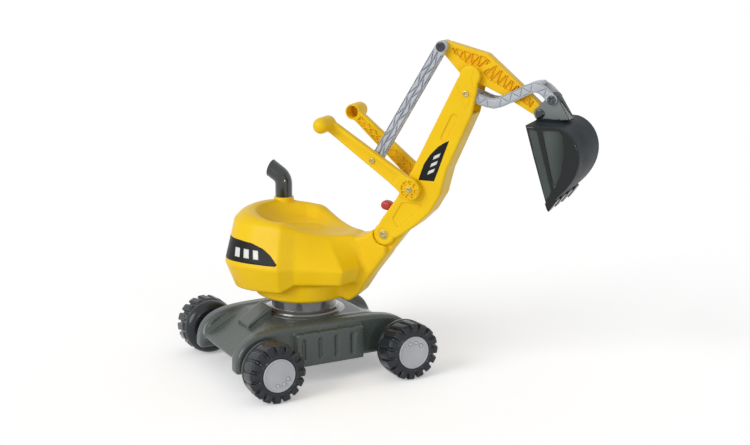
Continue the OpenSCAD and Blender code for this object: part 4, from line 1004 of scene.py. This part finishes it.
# Each lamp's strength, spread in degrees and direction
LAMPS = (("key", 1.46, 36, (0.5, 0.95, -0.54)), ("fill", 0.07, 60, (-0.9, 0.5, -0.4)),
         ("glint", 0.3, 5, (-0.7, 0.68, -0.12)))
LENS, SENSOR, CLIP_END = 67.886, 36, 200
CAMERA_AT, CAMERA_YAW, CAMERA_PITCH = (1.2987, -2.6627, 1.0209), math.radians(113.0), math.radians(-13.388)


def in_view(tree):
    """One for what the camera sees, straight or in a reflection or through glass."""
    path = node(tree, "LightPath", {})
    some = path.outputs["Is Camera Ray"]
    for ray in ("Is Glossy Ray", "Is Transmission Ray"):
        some = node(tree, "Math", {0: some, 1: path.outputs[ray]}, operation="MAXIMUM").outputs[0]
    return some


def floor():
    mesh = bpy.data.meshes.new("floor")
    corners = [(FLOOR_HALF * a, FLOOR_HALF * b, 0) for a, b in ((-1, -1), (1, -1), (1, 1), (-1, 1))]
    mesh.from_pydata(corners, [], [(0, 1, 2, 3)])
    obj = add("floor", mesh)
    paper, t, shader = blank("pale_paper")
    seen = in_view(t)
    tone = node(t, "MapRange", {0: seen, 3: FLOOR_TONE, 4: 1.0})
    glow = node(t, "MapRange", {0: seen, 3: 0.0, 4: FLOOR_GLOW})
    fill(t, shader, {"Base Color": tone.outputs[0], "Emission Color": (1, 1, 1, 1),
                     "Emission Strength": glow.outputs[0], "Roughness": 0.9, "Specular IOR Level": 0.1})
    mesh.materials.append(paper)


def sky():
    world = bpy.data.worlds.new("studio")
    bpy.context.scene.world = world
    world.use_nodes = True
    t = world.node_tree
    light = node(t, "MapRange", {0: in_view(t), 3: SKY_LIGHT, 4: 1.0})
    fill(t, t.nodes["Background"], {"Strength": light.outputs[0], "Color": (1, 1, 1, 1)})


def aim(obj, way):
    obj.rotation_euler = Vector(way).to_track_quat("-Z", "Y").to_euler()


def lamps():
    for name, strength, spread, way in LAMPS:
        lamp = bpy.data.lights.new(name, "SUN")
        lamp.energy, lamp.angle = strength, math.radians(spread)
        aim(add(name, lamp), way)


def camera():
    data = bpy.data.cameras.new("camera")
    data.lens, data.sensor_width, data.clip_end = LENS, SENSOR, CLIP_END
    obj = add("camera", data)
    obj.location = CAMERA_AT
    level = math.cos(CAMERA_PITCH)
    aim(obj, (math.cos(CAMERA_YAW) * level, math.sin(CAMERA_YAW) * level, math.sin(CAMERA_PITCH)))
    bpy.context.scene.camera = obj


# Every CAD node gets the material of its slot
FINISHES = {"yellow_plastic": YELLOW, "dark_plastic": DARK, "collar_plastic": COLLAR, "wheel_plastic": TYRE,
            "hub_plastic": HUB, "grey_plastic": GREY, "black_plastic": BLACK, "bucket_plastic": BUCKET,
            "red_plastic": RED, "steel": STEEL}
SLOT_OF = {p["node"]: p["material_slot"] for p in frame["record"]["subparts"]}
for name, obj in frame["nodes"].items():
    obj.data.materials.clear()
    obj.data.materials.append(FINISHES[SLOT_OF[name]])

bpy.context.scene.view_settings.view_transform = "Standard"
floor()
sky()
lamps()
camera()
house_piece = moulding("house_moulding", house_field, "house_shell", 2.0, YELLOW, "house", "yellow_plastic")
exhaust()
boom_piece = moulding("boom_moulding", boom_field, "boom_shell", 1.25, YELLOW, "boom", "yellow_plastic")
stickers(house_piece, boom_piece)
fasteners()
lever("right")
lever("left")
moulding("strut_moulding", strut_field, "strut", 0.9, GREY, "push_strut", "grey_plastic")
moulding("dipper_moulding", dipper_field, "dipper", 0.95, RIBBED, "dipper_arm", "yellow_plastic")
moulding("link_moulding", link_field, "bucket_link", 0.9, GREY, "curl_link", "grey_plastic")
bucket()
moulding("catch_moulding", lock_field, "lock_lever", 0.8, RED, "lock", "red_plastic")
chassis()
wheels()
